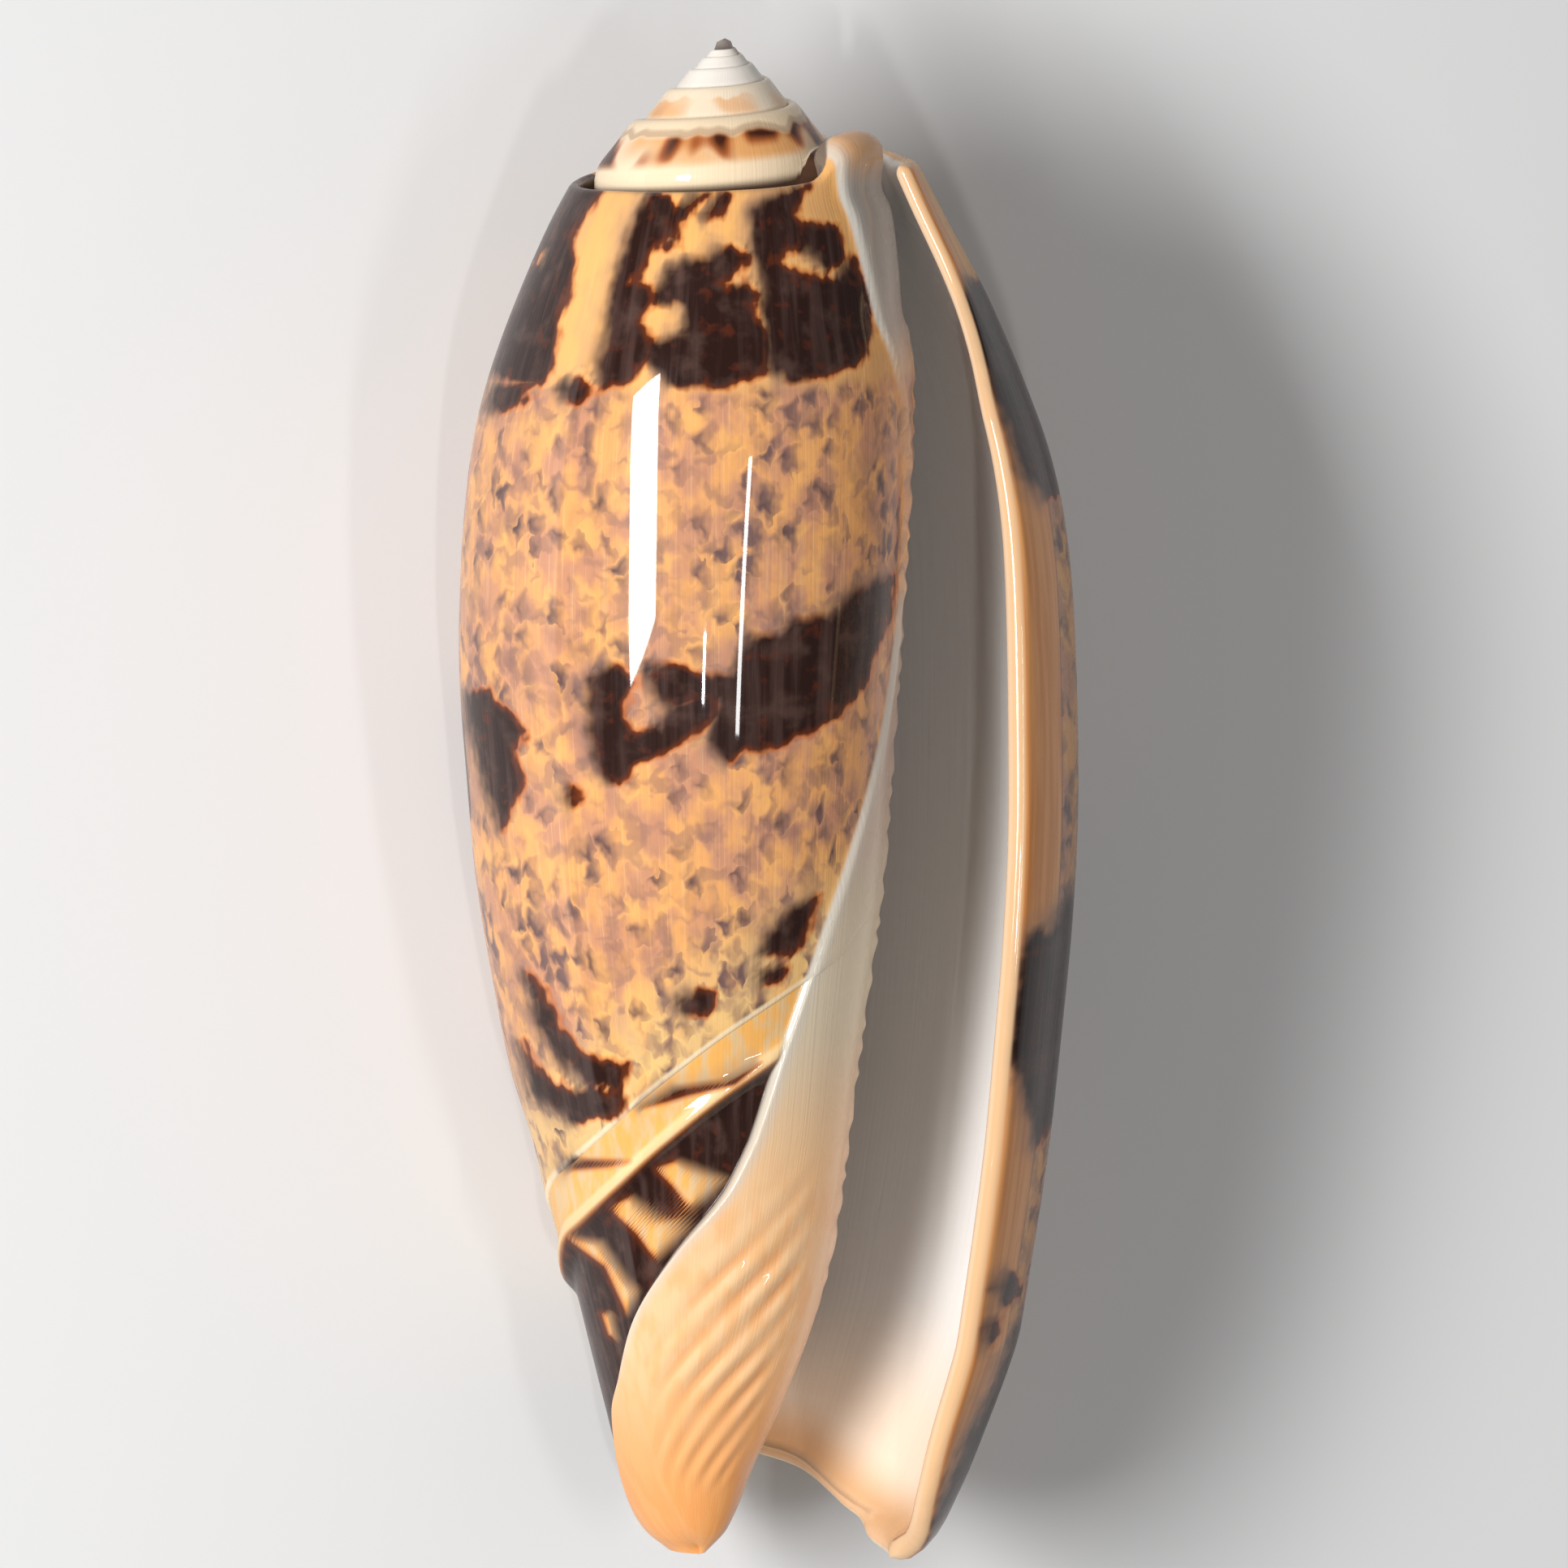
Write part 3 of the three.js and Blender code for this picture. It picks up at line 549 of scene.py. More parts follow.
# The dark blotches, as outlines in the plane of the photograph: millimetres to the right of the
# coil axis, and down from the apex
FRONT_BLOTCHES = [
    # Upper band, from the left edge to the callus
    [(-8.6, 8.0), (-7.0, 8.6), (-7.8, 9.8), (-8.7, 10.8), (-8.5, 12.4), (-8.6, 13.8), (-9.4, 15.4),
     (-9.6, 18.4), (-10.2, 19.3), (-12.8, 19.0), (-16.5, 17.5), (-13, 10)],
    [(-9.4, 19.7), (-8.4, 19.1), (-7.3, 19.6), (-8.2, 20.3), (-9.2, 20.3)],
    [(-13, 19.6), (-11.5, 19.4), (-11, 20.1), (-12.4, 20.9), (-13.4, 20.6)],
    [(-4.1, 8.6), (-3.1, 9.0), (-2.6, 10.2), (-2.6, 11.5), (-4.1, 11.8), (-4.4, 12.7), (-5.4, 13.6),
     (-3.8, 14.2), (-4.4, 15.2), (-5, 16.1), (-4.1, 17), (-4.4, 17.9), (-5.3, 19), (-7, 19.6),
     (-7, 18.2), (-6.5, 15.8), (-6.2, 13.8), (-5.6, 12), (-5, 10.2)],
    [(-2.8, 9.8), (-1.7, 8.9), (-1.0, 8.8), (-1.9, 9.7), (-2.5, 10.2)],
    [(-1.3, 9.9), (-0.4, 8.8), (0.3, 8.8), (-0.4, 9.9), (-1.0, 10.1)],
    [(-3.2, 13), (-2, 12.4), (-0.8, 12.2), (-0.3, 11.8), (0.5, 11.8), (1.6, 12.3), (0.7, 13),
     (-0.5, 13.6), (0.2, 14.1), (1.2, 13.9), (2, 14.4), (1.5, 14.8), (1.8, 15.9), (2.4, 16.3),
     (2.2, 18.6), (0.6, 19.4), (-1, 19.5), (-3.2, 19.4), (-4.2, 18), (-4.1, 17.1), (-2.2, 16.5),
     (-2.2, 15), (-3.6, 14.8), (-3.9, 14.4), (-3.3, 13.7)],
    [(2.7, 8.9), (4.6, 8.3), (4.2, 9.1), (3.8, 9.8), (4.3, 10.4), (6.4, 10.6), (6.5, 12.4),
     (5.8, 12.9), (4.5, 11.7), (3.6, 11.8), (2.8, 12.4), (3.4, 12.9), (4.9, 13.3), (6.4, 13.5),
     (7.1, 12.2), (8, 14.1), (8.2, 16.4), (7.8, 18), (5.1, 19.1), (3.3, 19), (2.4, 18.5),
     (2.2, 14.2), (2, 13.1), (1.5, 11.3), (1.6, 9.5)],
    # Middle band
    [(-14.6, 36.7), (-13.2, 36.7), (-12.3, 37.8), (-11.2, 38.9), (-12, 39.7), (-11.3, 41.7),
     (-12.5, 44.2), (-13.2, 42.6), (-13.9, 40), (-14.4, 38.1)],
    [(-7.6, 35.8), (-6.2, 35.1), (-5, 35.8), (-5.6, 37.2), (-5.7, 38), (-5, 38.8), (-3.5, 38.8),
     (-3.3, 37.5), (-0.5, 36.7), (-0.5, 38.1), (-1.4, 38.8), (-2.5, 39.4), (-4, 40.2), (-5, 40.5),
     (-5.9, 41.7), (-6.7, 41.5), (-7.5, 40.1)],
    [(-4.6, 35.3), (-3, 35), (-1.4, 35.8), (0.5, 35.6), (1.3, 33.7), (3.2, 33.4), (3.7, 32.7),
     (5.9, 32.4), (7.2, 31), (9.4, 30.2), (9.2, 32.3), (8.3, 34.5), (8, 35.9), (6.4, 37.7),
     (4.3, 39), (2.7, 39.6), (1, 39.7), (0.2, 40.4), (-0.8, 39.4), (-0.3, 36.9), (-3.3, 37.4),
     (-4, 36.5)],
    [(-9, 42), (-8.5, 41.9), (-8, 42.4), (-8.4, 42.9), (-9, 42.6)],
    # Towards the fasciole
    [(4, 48.7), (5.2, 48.1), (4.5, 50.1), (3.8, 51.3), (2, 51.3), (2.4, 50.3)],
    [(-2.9, 54), (-1.9, 53.4), (-0.6, 53.5), (-1, 54.6), (-2.3, 54.6)],
    [(1.8, 52.5), (3.6, 52), (3.2, 52.7), (2, 53.1)],
    [(-11.2, 52.3), (-10.2, 53.4), (-9.2, 55.4), (-7.9, 57), (-5.5, 57.5), (-5.8, 58.7),
     (-7.7, 58.5), (-9.3, 57.2), (-10.5, 55.2)],
    [(-11.5, 56.3), (-10.3, 58.1), (-8.8, 59.1), (-7.2, 58.9), (-5.7, 59.3), (-5.9, 60.2),
     (-8.3, 60.7), (-9.4, 60.2), (-10.8, 59.1)],
    # The last growth, beside the lip
    [(13.6, 13.7), (15.2, 13.6), (16.8, 17), (18.4, 21), (19.4, 25), (18, 25.7), (16.6, 24.2),
     (15.8, 21.5), (15, 19.4), (13.9, 17), (13.3, 15.1)],
    [(17.3, 50), (18, 50.2), (20.5, 46.5), (20, 55), (19, 59.5), (17.5, 62), (16.8, 58.8),
     (16.1, 57.4), (16.2, 54.2), (16.8, 51)],
    [(15.1, 70.1), (16, 69.4), (16.8, 69.8), (15.6, 71)],
    [(14.6, 72.3), (15.2, 72), (15.3, 72.8), (14.8, 73.2)],
    [(16.5, 72.2), (18.5, 70), (17, 77), (13.5, 83.5), (11, 85.5), (12.2, 82), (13.4, 79),
     (15.2, 75.4)],
    # Dashes on the fasciole's band
    [(-4.7, 59.9), (-2.9, 58.8), (0, 58.4), (2, 57.4), (0.6, 58.6), (-2, 59.2), (-3.3, 59.6)],
    [(-9.1, 63.1), (-8.1, 62.8), (-5.3, 62.9), (-6.5, 63.2), (-8.8, 63.4)],
]
# Cream left free inside them, and in the dark zone below the second ridge
FRONT_WINDOWS = [
    [(-10.2, 11.8), (-9.9, 11.9), (-10.5, 13), (-10.7, 12.5)],
    [(-3.3, 10.9), (-2.9, 11.4), (-3.6, 11.5)],
    [(-3.9, 63.3), (-2.7, 62.9), (0, 63.9), (-1.2, 65.1), (-2, 65.5), (-2.9, 64.3)],
    [(-6.5, 65.5), (-5.3, 64.9), (-3.7, 66.1), (-2, 66.5), (-3.9, 68.4), (-4.9, 67)],
    [(-9, 67.1), (-6.9, 67.5), (-5.5, 69.6), (-4.9, 70.2), (-5.5, 71.4), (-6.7, 68.8)],
    [(-6.9, 71.4), (-6.4, 71.5), (-6.1, 72.8), (-6.5, 72.6)],
]
# The same on the sides and back, as outlines of turn angle and depth below the apex
BACK_BLOTCHES = [
    [(176, 8), (206, 7.6), (204, 11), (213, 14), (205, 16), (211, 19), (196, 20.5), (176, 18)],
    [(228, 7), (246, 6.8), (243, 10), (252, 12), (268, 13), (260, 16), (266, 19), (250, 21),
     (238, 20), (233, 17), (238, 14), (226, 11)],
    [(284, 8), (296, 7.4), (300, 12), (312, 15), (306, 19), (311, 22), (296, 23), (286, 21),
     (290, 17), (281, 13)],
    [(330, 10), (339, 9), (344, 14), (356, 17), (352, 22), (362, 26), (344, 25.5), (336, 22),
     (339, 18), (328, 14)],
    [(176, 37), (188, 38), (184, 43), (176, 44)],
    [(206, 38), (226, 37), (238, 40), (231, 42), (240, 45), (224, 47), (214, 45), (216, 42)],
    [(254, 43), (270, 41), (274, 44), (286, 46), (279, 49), (266, 51), (258, 48)],
    [(304, 46), (322, 44), (330, 47), (346, 46), (352, 51), (341, 54), (346, 58), (326, 57),
     (316, 53), (308, 51)],
    [(218, 56), (232, 58), (244, 57), (240, 61), (228, 62)],
    [(268, 61), (286, 62), (298, 60), (292, 66), (278, 67)],
    [(186, 53), (198, 56), (196, 59), (188, 57)],
]


def signed_distance(points, outline):
    """Distance to an outline, positive inside."""
    corners = np.array(outline, float)
    nearest = np.full(len(points), np.inf)
    inside = np.zeros(len(points), bool)
    for a, b in zip(corners, np.roll(corners, -1, 0)):
        edge, rel = b - a, points - a
        share = np.clip(rel @ edge / (edge @ edge), 0, 1)
        nearest = np.minimum(nearest, np.linalg.norm(rel - share[:, None] * edge, axis=1))
        crosses = (a[1] > points[:, 1]) != (b[1] > points[:, 1])
        rise = np.where(b[1] == a[1], 1e-9, b[1] - a[1])
        inside ^= crosses & (points[:, 0] < a[0] + (points[:, 1] - a[1]) / rise * edge[0])
    return np.where(inside, nearest, -nearest)


MEAN_RADIUS = 15.0  # of the whorl, to measure turns in millimetres


def as_seen(points):
    """Points of the coil frame in the plane of the photograph, in millimetres from the apex."""
    aim_point = np.array(Vector((right_mm, 0, 0)) - image_up * down_mm)
    rel = points - aim_point
    nearer = rel @ np.array(toward_camera) * MM
    size = CAMERA_DISTANCE / (CAMERA_DISTANCE - nearer)
    return np.stack([right_mm + rel[:, 0] * size, down_mm - rel @ np.array(image_up) * size], 1)


# The blotches drawn on the photograph fade out past these turns, and those of the back begin
FIRST_HIDDEN_TURN = 182
LAST_HIDDEN_TURN = 342
FADE_PER_DEGREE = 0.15
# The dark zone below the second ridge starts this far past it, and is this deep at most
DARK_ZONE_GAP = 0.2
DARK_ZONE_LIMIT = 1.5
FIELD_LIMIT = 3


def blotch_field(points, turn, depth, beyond):
    """How deep each point lies inside the dark blotches, in millimetres, negative outside."""
    seen = as_seen(points)
    hidden = np.minimum(turn - FIRST_HIDDEN_TURN, LAST_HIDDEN_TURN - turn)
    fade_front = np.maximum(hidden, 0) * FADE_PER_DEGREE
    fade_back = np.maximum(-hidden, 0) * FADE_PER_DEGREE
    field = np.minimum(beyond - FASCIOLE_WIDTH - DARK_ZONE_GAP, DARK_ZONE_LIMIT)
    for outline in FRONT_BLOTCHES:
        field = np.maximum(field, signed_distance(seen, outline) - fade_front)
    for outline in FRONT_WINDOWS:
        field = np.minimum(field, fade_front - signed_distance(seen, outline))
    to_mm = np.array([math.radians(1) * MEAN_RADIUS, 1.0])
    unrolled = np.stack([turn, depth], 1) * to_mm
    for outline in BACK_BLOTCHES:
        field = np.maximum(field, signed_distance(unrolled, np.array(outline) * to_mm) - fade_back)
    return np.clip(field, -FIELD_LIMIT, FIELD_LIMIT)


# What a measure says where it has no meaning: a value outside all the bands of the shader
NO_FASCIOLE = -5
NO_EDGE = 20
NO_LIP = 90
# The blotches' newer side is found from their field this far to the right and left
NEWER_SIDE_STEP = 0.4


def paint_attributes(surface):
    """What the shader needs to know at each point, worked out from the growth coordinates."""
    turn, depth, side = surface.turn, surface.depth, surface.side
    on_spire, on_core = side == ON_SPIRE, side == ON_CORE
    on_wall = ~on_spire & ~on_core
    inside = on_wall & (side < 0)
    beyond = np.where(on_core, depth - fasciole_depth(turn), NO_FASCIOLE)
    step = np.array([NEWER_SIDE_STEP, 0, 0])
    left_dark, dark, right_dark = (
        blotch_field(surface.points + shift, turn, depth, beyond) for shift in (-step, 0, step)
    )
    deep = np.where(on_core, smoothstep(turn, cavity_end(depth), cavity_end(depth) + 6), 0)
    return {
        "turn": turn,
        "around": np.radians(turn) * MEAN_RADIUS,
        "down": depth,
        "dark": np.where(on_spire, -FIELD_LIMIT, dark),
        "newer": np.clip((right_dark - left_dark) / (2 * NEWER_SIDE_STEP), -1, 1),
        "callus": np.where(on_spire | inside, 0, callus_edge(depth) - turn),
        "inner": np.where(inside, 1, np.maximum(deep, smoothstep(-turn, 2, 16) * ~on_spire)),
        "lip": np.where(on_wall, lip_turn(depth) - turn, NO_LIP),
        "rounding": np.where(on_wall, side, 1),
        "to_edge": np.where(on_wall, edge_depth(turn) - depth, NO_EDGE),
        "beyond": beyond,
        "fold": np.where(on_core, fold_wave(turn, depth), 0),
        "spire": on_spire.astype(float),
    }


def build_piece(name, surfaces, laid):
    """One object from the surfaces and their laid points, with what the shader needs to know."""
    faces, start = [], 0
    for surface in surfaces:
        faces += [[start + k for k in face] for face in surface.faces]
        start += len(surface.points)
    mesh = bpy.data.meshes.new(name)
    mesh.from_pydata(laid.tolist(), [], faces)
    paint = [paint_attributes(surface) for surface in surfaces]
    for key in paint[0]:
        values = np.concatenate([p[key] for p in paint]).astype(np.float32)
        mesh.attributes.new(key, "FLOAT", "POINT").data.foreach_set("value", values)
    mesh.polygons.foreach_set("use_smooth", np.ones(len(mesh.polygons), bool))
    piece = bpy.data.objects.new(name, mesh)
    bpy.context.collection.objects.link(piece)
    return piece


def srgb(red, green, blue):
    """Linear colour from the 0 to 255 values of a picture."""
    shares = (channel / 255 for channel in (red, green, blue))
    linear = (c / 12.92 if c <= 0.04045 else ((c + 0.055) / 1.055) ** 2.4 for c in shares)
    return (*linear, 1.0)


# Short names for the shader nodes of the shell's one material
material = bpy.data.materials.new("olive_shell")
material.use_nodes = True
tree = material.node_tree


def put(value, socket):
    if isinstance(value, bpy.types.NodeSocket):
        tree.links.new(value, socket)
    else:
        socket.default_value = value


def attribute(name):
    node = tree.nodes.new("ShaderNodeAttribute")
    node.attribute_name = name
    return node.outputs["Fac"]


def joined(operation, *values):
    """The values joined by one operation, from the first to the last."""
    result = values[0]
    for value in values[1:]:
        node = tree.nodes.new("ShaderNodeMath")
        node.operation = operation
        put(result, node.inputs[0])
        put(value, node.inputs[1])
        result = node.outputs[0]
    return result


def plus(*values):
    return joined("ADD", *values)


def minus(value, other):
    return joined("SUBTRACT", value, other)


def times(*values):
    return joined("MULTIPLY", *values)


def less(value):
    """What is left of 1."""
    return minus(1.0, value)


def ramp(value, low, high):
    """Smooth rise from 0 at low to 1 at high."""
    node = tree.nodes.new("ShaderNodeMapRange")
    node.interpolation_type = "SMOOTHSTEP"
    put(value, node.inputs["Value"])
    put(low, node.inputs["From Min"])
    put(high, node.inputs["From Max"])
    return node.outputs["Result"]


def band(value, start, full, fading, end):
    return times(ramp(value, start, full), less(ramp(value, fading, end)))


def vector(x, y, z=0.0):
    node = tree.nodes.new("ShaderNodeCombineXYZ")
    for value, socket in zip((x, y, z), node.inputs):
        put(value, socket)
    return node.outputs[0]


def noise(x, y, scales, seed, detail=2):
    """Noise over two coordinates, each with a scale of its own."""
    node = tree.nodes.new("ShaderNodeTexNoise")
    scaled = vector(times(x, scales[0]), times(y, scales[1]), seed)
    put(scaled, node.inputs["Vector"])
    node.inputs["Scale"].default_value = 1.0
    node.inputs["Detail"].default_value = detail
    return node.outputs["Fac"]


def cells(x, y):
    """Offset from the middle of the nearest cell, and two random shares of that cell."""
    node = tree.nodes.new("ShaderNodeTexVoronoi")
    node.voronoi_dimensions = "2D"
    put(vector(x, y), node.inputs["Vector"])
    node.inputs["Scale"].default_value = 1.0
    middle = tree.nodes.new("ShaderNodeSeparateXYZ")
    put(node.outputs["Position"], middle.inputs[0])
    chance = tree.nodes.new("ShaderNodeSeparateXYZ")
    put(node.outputs["Color"], chance.inputs[0])
    dy = tree.nodes.new("ShaderNodeMath")
    dy.operation = "ABSOLUTE"
    put(minus(y, middle.outputs[1]), dy.inputs[0])
    return minus(x, middle.outputs[0]), dy.outputs[0], chance.outputs[0], chance.outputs[1]


def mix(share, below, above):
    node = tree.nodes.new("ShaderNodeMix")
    node.data_type = "RGBA"
    sockets = [s for s in node.inputs if s.enabled]
    for value, socket in zip((share, below, above), sockets):
        put(value, socket)
    return next(s for s in node.outputs if s.enabled)


def tint(ground, colour, strength, *shares):
    """The ground, changed towards a colour where all the shares are 1."""
    return mix(times(*shares, strength), ground, colour)


def shades(value, first, *steps):
    """Colours along a value: the first one, then (start, full, colour) for each next one."""
    colour = first
    for start, full, shade in steps:
        colour = mix(ramp(value, start, full), colour, shade)
    return colour


# The growth coordinates, in millimetres around the whorl and down from the apex. On the spire,
# down counts from 0 at a suture to 5 at the next one.
around, down, turn = attribute("around"), attribute("down"), attribute("turn")


GROUND_TAN = srgb(200, 142, 110)
GROUND_CREAM = srgb(232, 166, 102)
STREAK_TAN = srgb(196, 140, 106)
STREAK_CREAM = srgb(255, 222, 165)
RIDGE_CREAM = srgb(236, 198, 130)


def body_ground():
    """Cream and tan ground of the body whorl, with growth streaks."""
    patch = noise(around, down, (0.4, 0.3), seed=1, detail=3)
    ground = mix(ramp(patch, 0.4, 0.6), GROUND_TAN, GROUND_CREAM)
    streak = noise(around, down, (1.7, 0.05), seed=2, detail=3)
    ground = tint(ground, STREAK_TAN, 0.4, ramp(streak, 0.5, 0.72))
    fine = noise(around, down, (6.0, 0.12), seed=3)
    ground = tint(ground, STREAK_CREAM, 0.25, ramp(fine, 0.5, 0.8))
    near_ridge = less(ramp(attribute("to_edge"), 2.0, 8.0))
    return tint(ground, RIDGE_CREAM, 0.75, near_ridge)


TENT_CREAM = srgb(246, 182, 106)
TENTS_PER_MM = 0.4
CLOUD_BROWN = srgb(150, 112, 98)
SPOT_VIOLET = srgb(122, 92, 86)
SPOT_HEART = srgb(66, 46, 44)
SPOTS_PER_MM = 0.62
CLEAR_CREAM = srgb(246, 188, 108)
CLEAR_ABOVE = 18.6  # between the blotches by the spire, the ground is plain


def mottling(ground):
    """Soft grey-violet spots, pointed towards the newer side, with cream tents between them."""
    drift = noise(around, down, (0.5, 0.5), seed=4)
    jitter = noise(around, down, (1.5, 1.3), seed=17, detail=1)
    x = plus(times(drift, 2.4), times(jitter, 0.9), around)
    y = plus(times(drift, -2.0), times(jitter, 0.8), down)
    dx, dy, chance, _ = cells(times(x, TENTS_PER_MM), times(y, TENTS_PER_MM))
    tent = minus(times(plus(dx, 0.55), 0.6), dy)
    tent = times(ramp(tent, -0.1, 0.3), less(ramp(dx, 0.0, 0.6)))
    colour = tint(ground, TENT_CREAM, 0.7, tent, ramp(chance, 0.3, 0.7))
    cloud = noise(x, y, (0.55, 0.75), seed=18, detail=1.5)
    colour = tint(colour, CLOUD_BROWN, 0.55, ramp(cloud, 0.5, 0.66))
    apart = plus(times(y, SPOTS_PER_MM), 9.0)
    dx, dy, chance, size = cells(times(x, SPOTS_PER_MM), apart)
    reach = plus(0.3, times(size, 0.25))
    wedge = minus(times(minus(reach, dx), 0.8), dy)
    older_side = ramp(dx, -0.9, 0.05)
    region = noise(around, down, (0.13, 0.13), seed=5)
    presence = plus(ramp(chance, 0.2, 0.9), ramp(region, 0.45, 0.7))
    spot = ramp(wedge, -0.25, 0.35)
    colour = tint(colour, SPOT_VIOLET, 0.75, spot, older_side, presence)
    heart = times(ramp(wedge, 0.05, 0.45), ramp(dx, -0.3, 0.2))
    colour = tint(colour, SPOT_HEART, 0.8, heart, ramp(chance, 0.5, 0.9))
    uneven_depth = plus(down, times(drift, 2.0))
    clean = mix(0.6, ground, CLEAR_CREAM)
    return mix(ramp(uneven_depth, CLEAR_ABOVE, CLEAR_ABOVE + 1.2), clean, colour)


BLOTCH_DARK = srgb(40, 18, 12)
BLOTCH_COLUMNS = srgb(92, 68, 62)
BLOTCH_HAZE = srgb(104, 78, 70)
BLOTCH_GLOW = srgb(98, 42, 20)
BLOTCH_RIM = srgb(112, 48, 16)
BLOTCH_VEIL = srgb(140, 112, 102)
BLOTCH_FRINGE = srgb(196, 104, 44)


def blotches(ground):
    """Dark brown blotches: a sharp orange fringe on the newer side, a grey veil on the older."""
    on_wall = less(ramp(attribute("beyond"), -2.0, 0.0))
    edge = noise(around, down, (0.75, 0.75), seed=6, detail=1.5)
    comb = noise(around, down, (1.3, 0.3), seed=7, detail=1.5)
    ragged = times(plus(times(edge, 0.9), times(comb, 0.4)), on_wall)
    depth_in = plus(ragged, times(on_wall, -0.5), attribute("dark"))
    older = ramp(attribute("newer"), -0.2, 0.4)
    newer = less(older)
    columns = noise(around, down, (1.0, 0.1), seed=8, detail=3)
    dark = tint(BLOTCH_DARK, BLOTCH_COLUMNS, 0.5, ramp(columns, 0.42, 0.75))
    haze = noise(around, down, (0.4, 0.6), seed=19, detail=3)
    dark = tint(dark, BLOTCH_HAZE, 0.4, ramp(haze, 0.48, 0.75))
    glow = noise(around, down, (0.7, 0.9), seed=9, detail=3)
    dark = tint(dark, BLOTCH_GLOW, 0.5, ramp(glow, 0.55, 0.72))
    dark = tint(dark, BLOTCH_RIM, 0.7, less(ramp(depth_in, 0.0, 0.45)), newer)
    colour = tint(ground, BLOTCH_VEIL, 0.6, ramp(depth_in, -1.3, 0.3), older)
    colour = tint(colour, BLOTCH_FRINGE, 0.7, ramp(depth_in, -0.3, -0.02), newer)
    width = plus(0.1, times(older, 0.4))
    return mix(ramp(depth_in, times(width, -1.0), width), colour, dark)


FASCIOLE_ORANGE = srgb(240, 178, 96)
FASCIOLE_BEIGE = srgb(222, 188, 140)
# Painted highlight along the crest of the first ridge
FIRST_RIDGE_HIGHLIGHT = srgb(250, 228, 190)
SECOND_RIDGE_LINE = srgb(246, 214, 160)


def fasciole(ground):
    """The orange band past the first ridge, a painted highlight along the first ridge, and a pale
    line on the second ridge.
    """
    beyond = attribute("beyond")
    streak = noise(around, beyond, (0.9, 0.5), seed=10, detail=3)
    orange = mix(ramp(streak, 0.4, 0.65), FASCIOLE_ORANGE, FASCIOLE_BEIGE)
    colour = mix(ramp(beyond, -0.6, -0.3), ground, orange)
    # Painted highlight along the crest of the first ridge
    first_ridge_highlight = less(ramp(attribute("to_edge"), 0.3, 0.6))
    colour = tint(colour, FIRST_RIDGE_HIGHLIGHT, 0.85, first_ridge_highlight)
    crest = FASCIOLE_WIDTH
    second_ridge = band(beyond, crest - 0.9, crest - 0.5, crest, crest + 0.3)
    return tint(colour, SECOND_RIDGE_LINE, 0.8, second_ridge)


# Down the callus: where each colour starts, where it is full, and the colour
CALLUS_TOP = srgb(228, 176, 128)
CALLUS_SHADES = [
    (5.5, 8.0, srgb(182, 172, 164)),
    (12.0, 20.0, srgb(196, 172, 158)),
    (38.0, 52.0, srgb(222, 208, 182)),
    (52.0, 63.0, srgb(244, 200, 152)),
    (70.0, 82.0, srgb(240, 164, 96)),
]
CALLUS_ORANGE = srgb(242, 176, 112)
GROOVE_ORANGE = srgb(238, 166, 104)
CALLUS_RIM = srgb(214, 208, 196)
COLUMELLA_PINK = srgb(238, 208, 190)


def callus(ground):
    """Glaze over the columella and the parietal wall: grey-blue above, cream, orange at the tip."""
    past = attribute("callus")
    colour = shades(down, CALLUS_TOP, *CALLUS_SHADES)
    cloud = noise(around, down, (0.35, 0.35), seed=11)
    orange = times(ramp(cloud, 0.42, 0.62), ramp(down, 60.0, 66.0))
    colour = tint(colour, CALLUS_ORANGE, 0.5, orange)
    grooves = ramp(times(attribute("fold"), -1.0), 0.0, 0.8)
    colour = tint(colour, GROOVE_ORANGE, 0.6, grooves)
    rim = less(ramp(past, 1.0, 9.0))
    colour = tint(colour, CALLUS_RIM, 0.75, rim, less(ramp(down, 70.0, 78.0)))
    right_side = less(ramp(turn, 5.0, 45.0))
    colour = tint(colour, COLUMELLA_PINK, 0.7, right_side, ramp(down, 50.0, 60.0))
    thick = less(times(band(down, 15.0, 20.0, 28.0, 34.0), 0.8))
    return mix(times(ramp(past, -0.6, 1.2), thick), ground, colour)


# The inside darkens further in: partly its own brown-grey, partly painted shade
MOUTH_DEEP_TINT_AND_SHADE = srgb(128, 114, 102)
MOUTH_SHADES = [(270.0, 325.0, srgb(226, 220, 214)), (315.0, 350.0, srgb(252, 250, 247))]
MOUTH_NOTCH = srgb(250, 228, 206)
MOUTH_EDGE = srgb(232, 184, 138)


def mouth(ground):
    """Inside of the shell: white under the lip, darker brown-grey further in, cream at the notch.
    The darkening further in is partly the inside's own brown-grey and partly painted shade.
    """
    # Painted shade deeper in, mixed with the inside's own brown-grey
    colour = shades(turn, MOUTH_DEEP_TINT_AND_SHADE, *MOUTH_SHADES)
    colour = mix(ramp(down, 70.0, 80.0), colour, MOUTH_NOTCH)
    at_edge = less(ramp(attribute("to_edge"), 0.8, 4.0))
    colour = mix(at_edge, colour, MOUTH_EDGE)
    return mix(ramp(attribute("inner"), 0.0, 1.0), ground, colour)


LIP_PEACH = srgb(222, 146, 84)
LIP_CREAM = srgb(238, 168, 106)
LIP_LINE = srgb(160, 98, 54)


def lip(ground):
    """The peach band along the lip, closed by a fine line where the pattern starts."""
    streak = noise(around, down, (2.5, 0.1), seed=12, detail=3)
    peach = mix(ramp(streak, 0.35, 0.65), LIP_PEACH, LIP_CREAM)
    reach = plus(7.0, times(ramp(down, 12.0, 26.0), 7.0))
    past = minus(attribute("lip"), reach)
    colour = mix(less(ramp(past, -0.8, 0.0)), ground, peach)
    return tint(colour, LIP_LINE, 0.6, band(past, -0.5, -0.2, 0.1, 0.4))


LIP_EDGE_BEIGE = srgb(226, 186, 142)
LIP_EDGE_LINE = srgb(160, 104, 66)


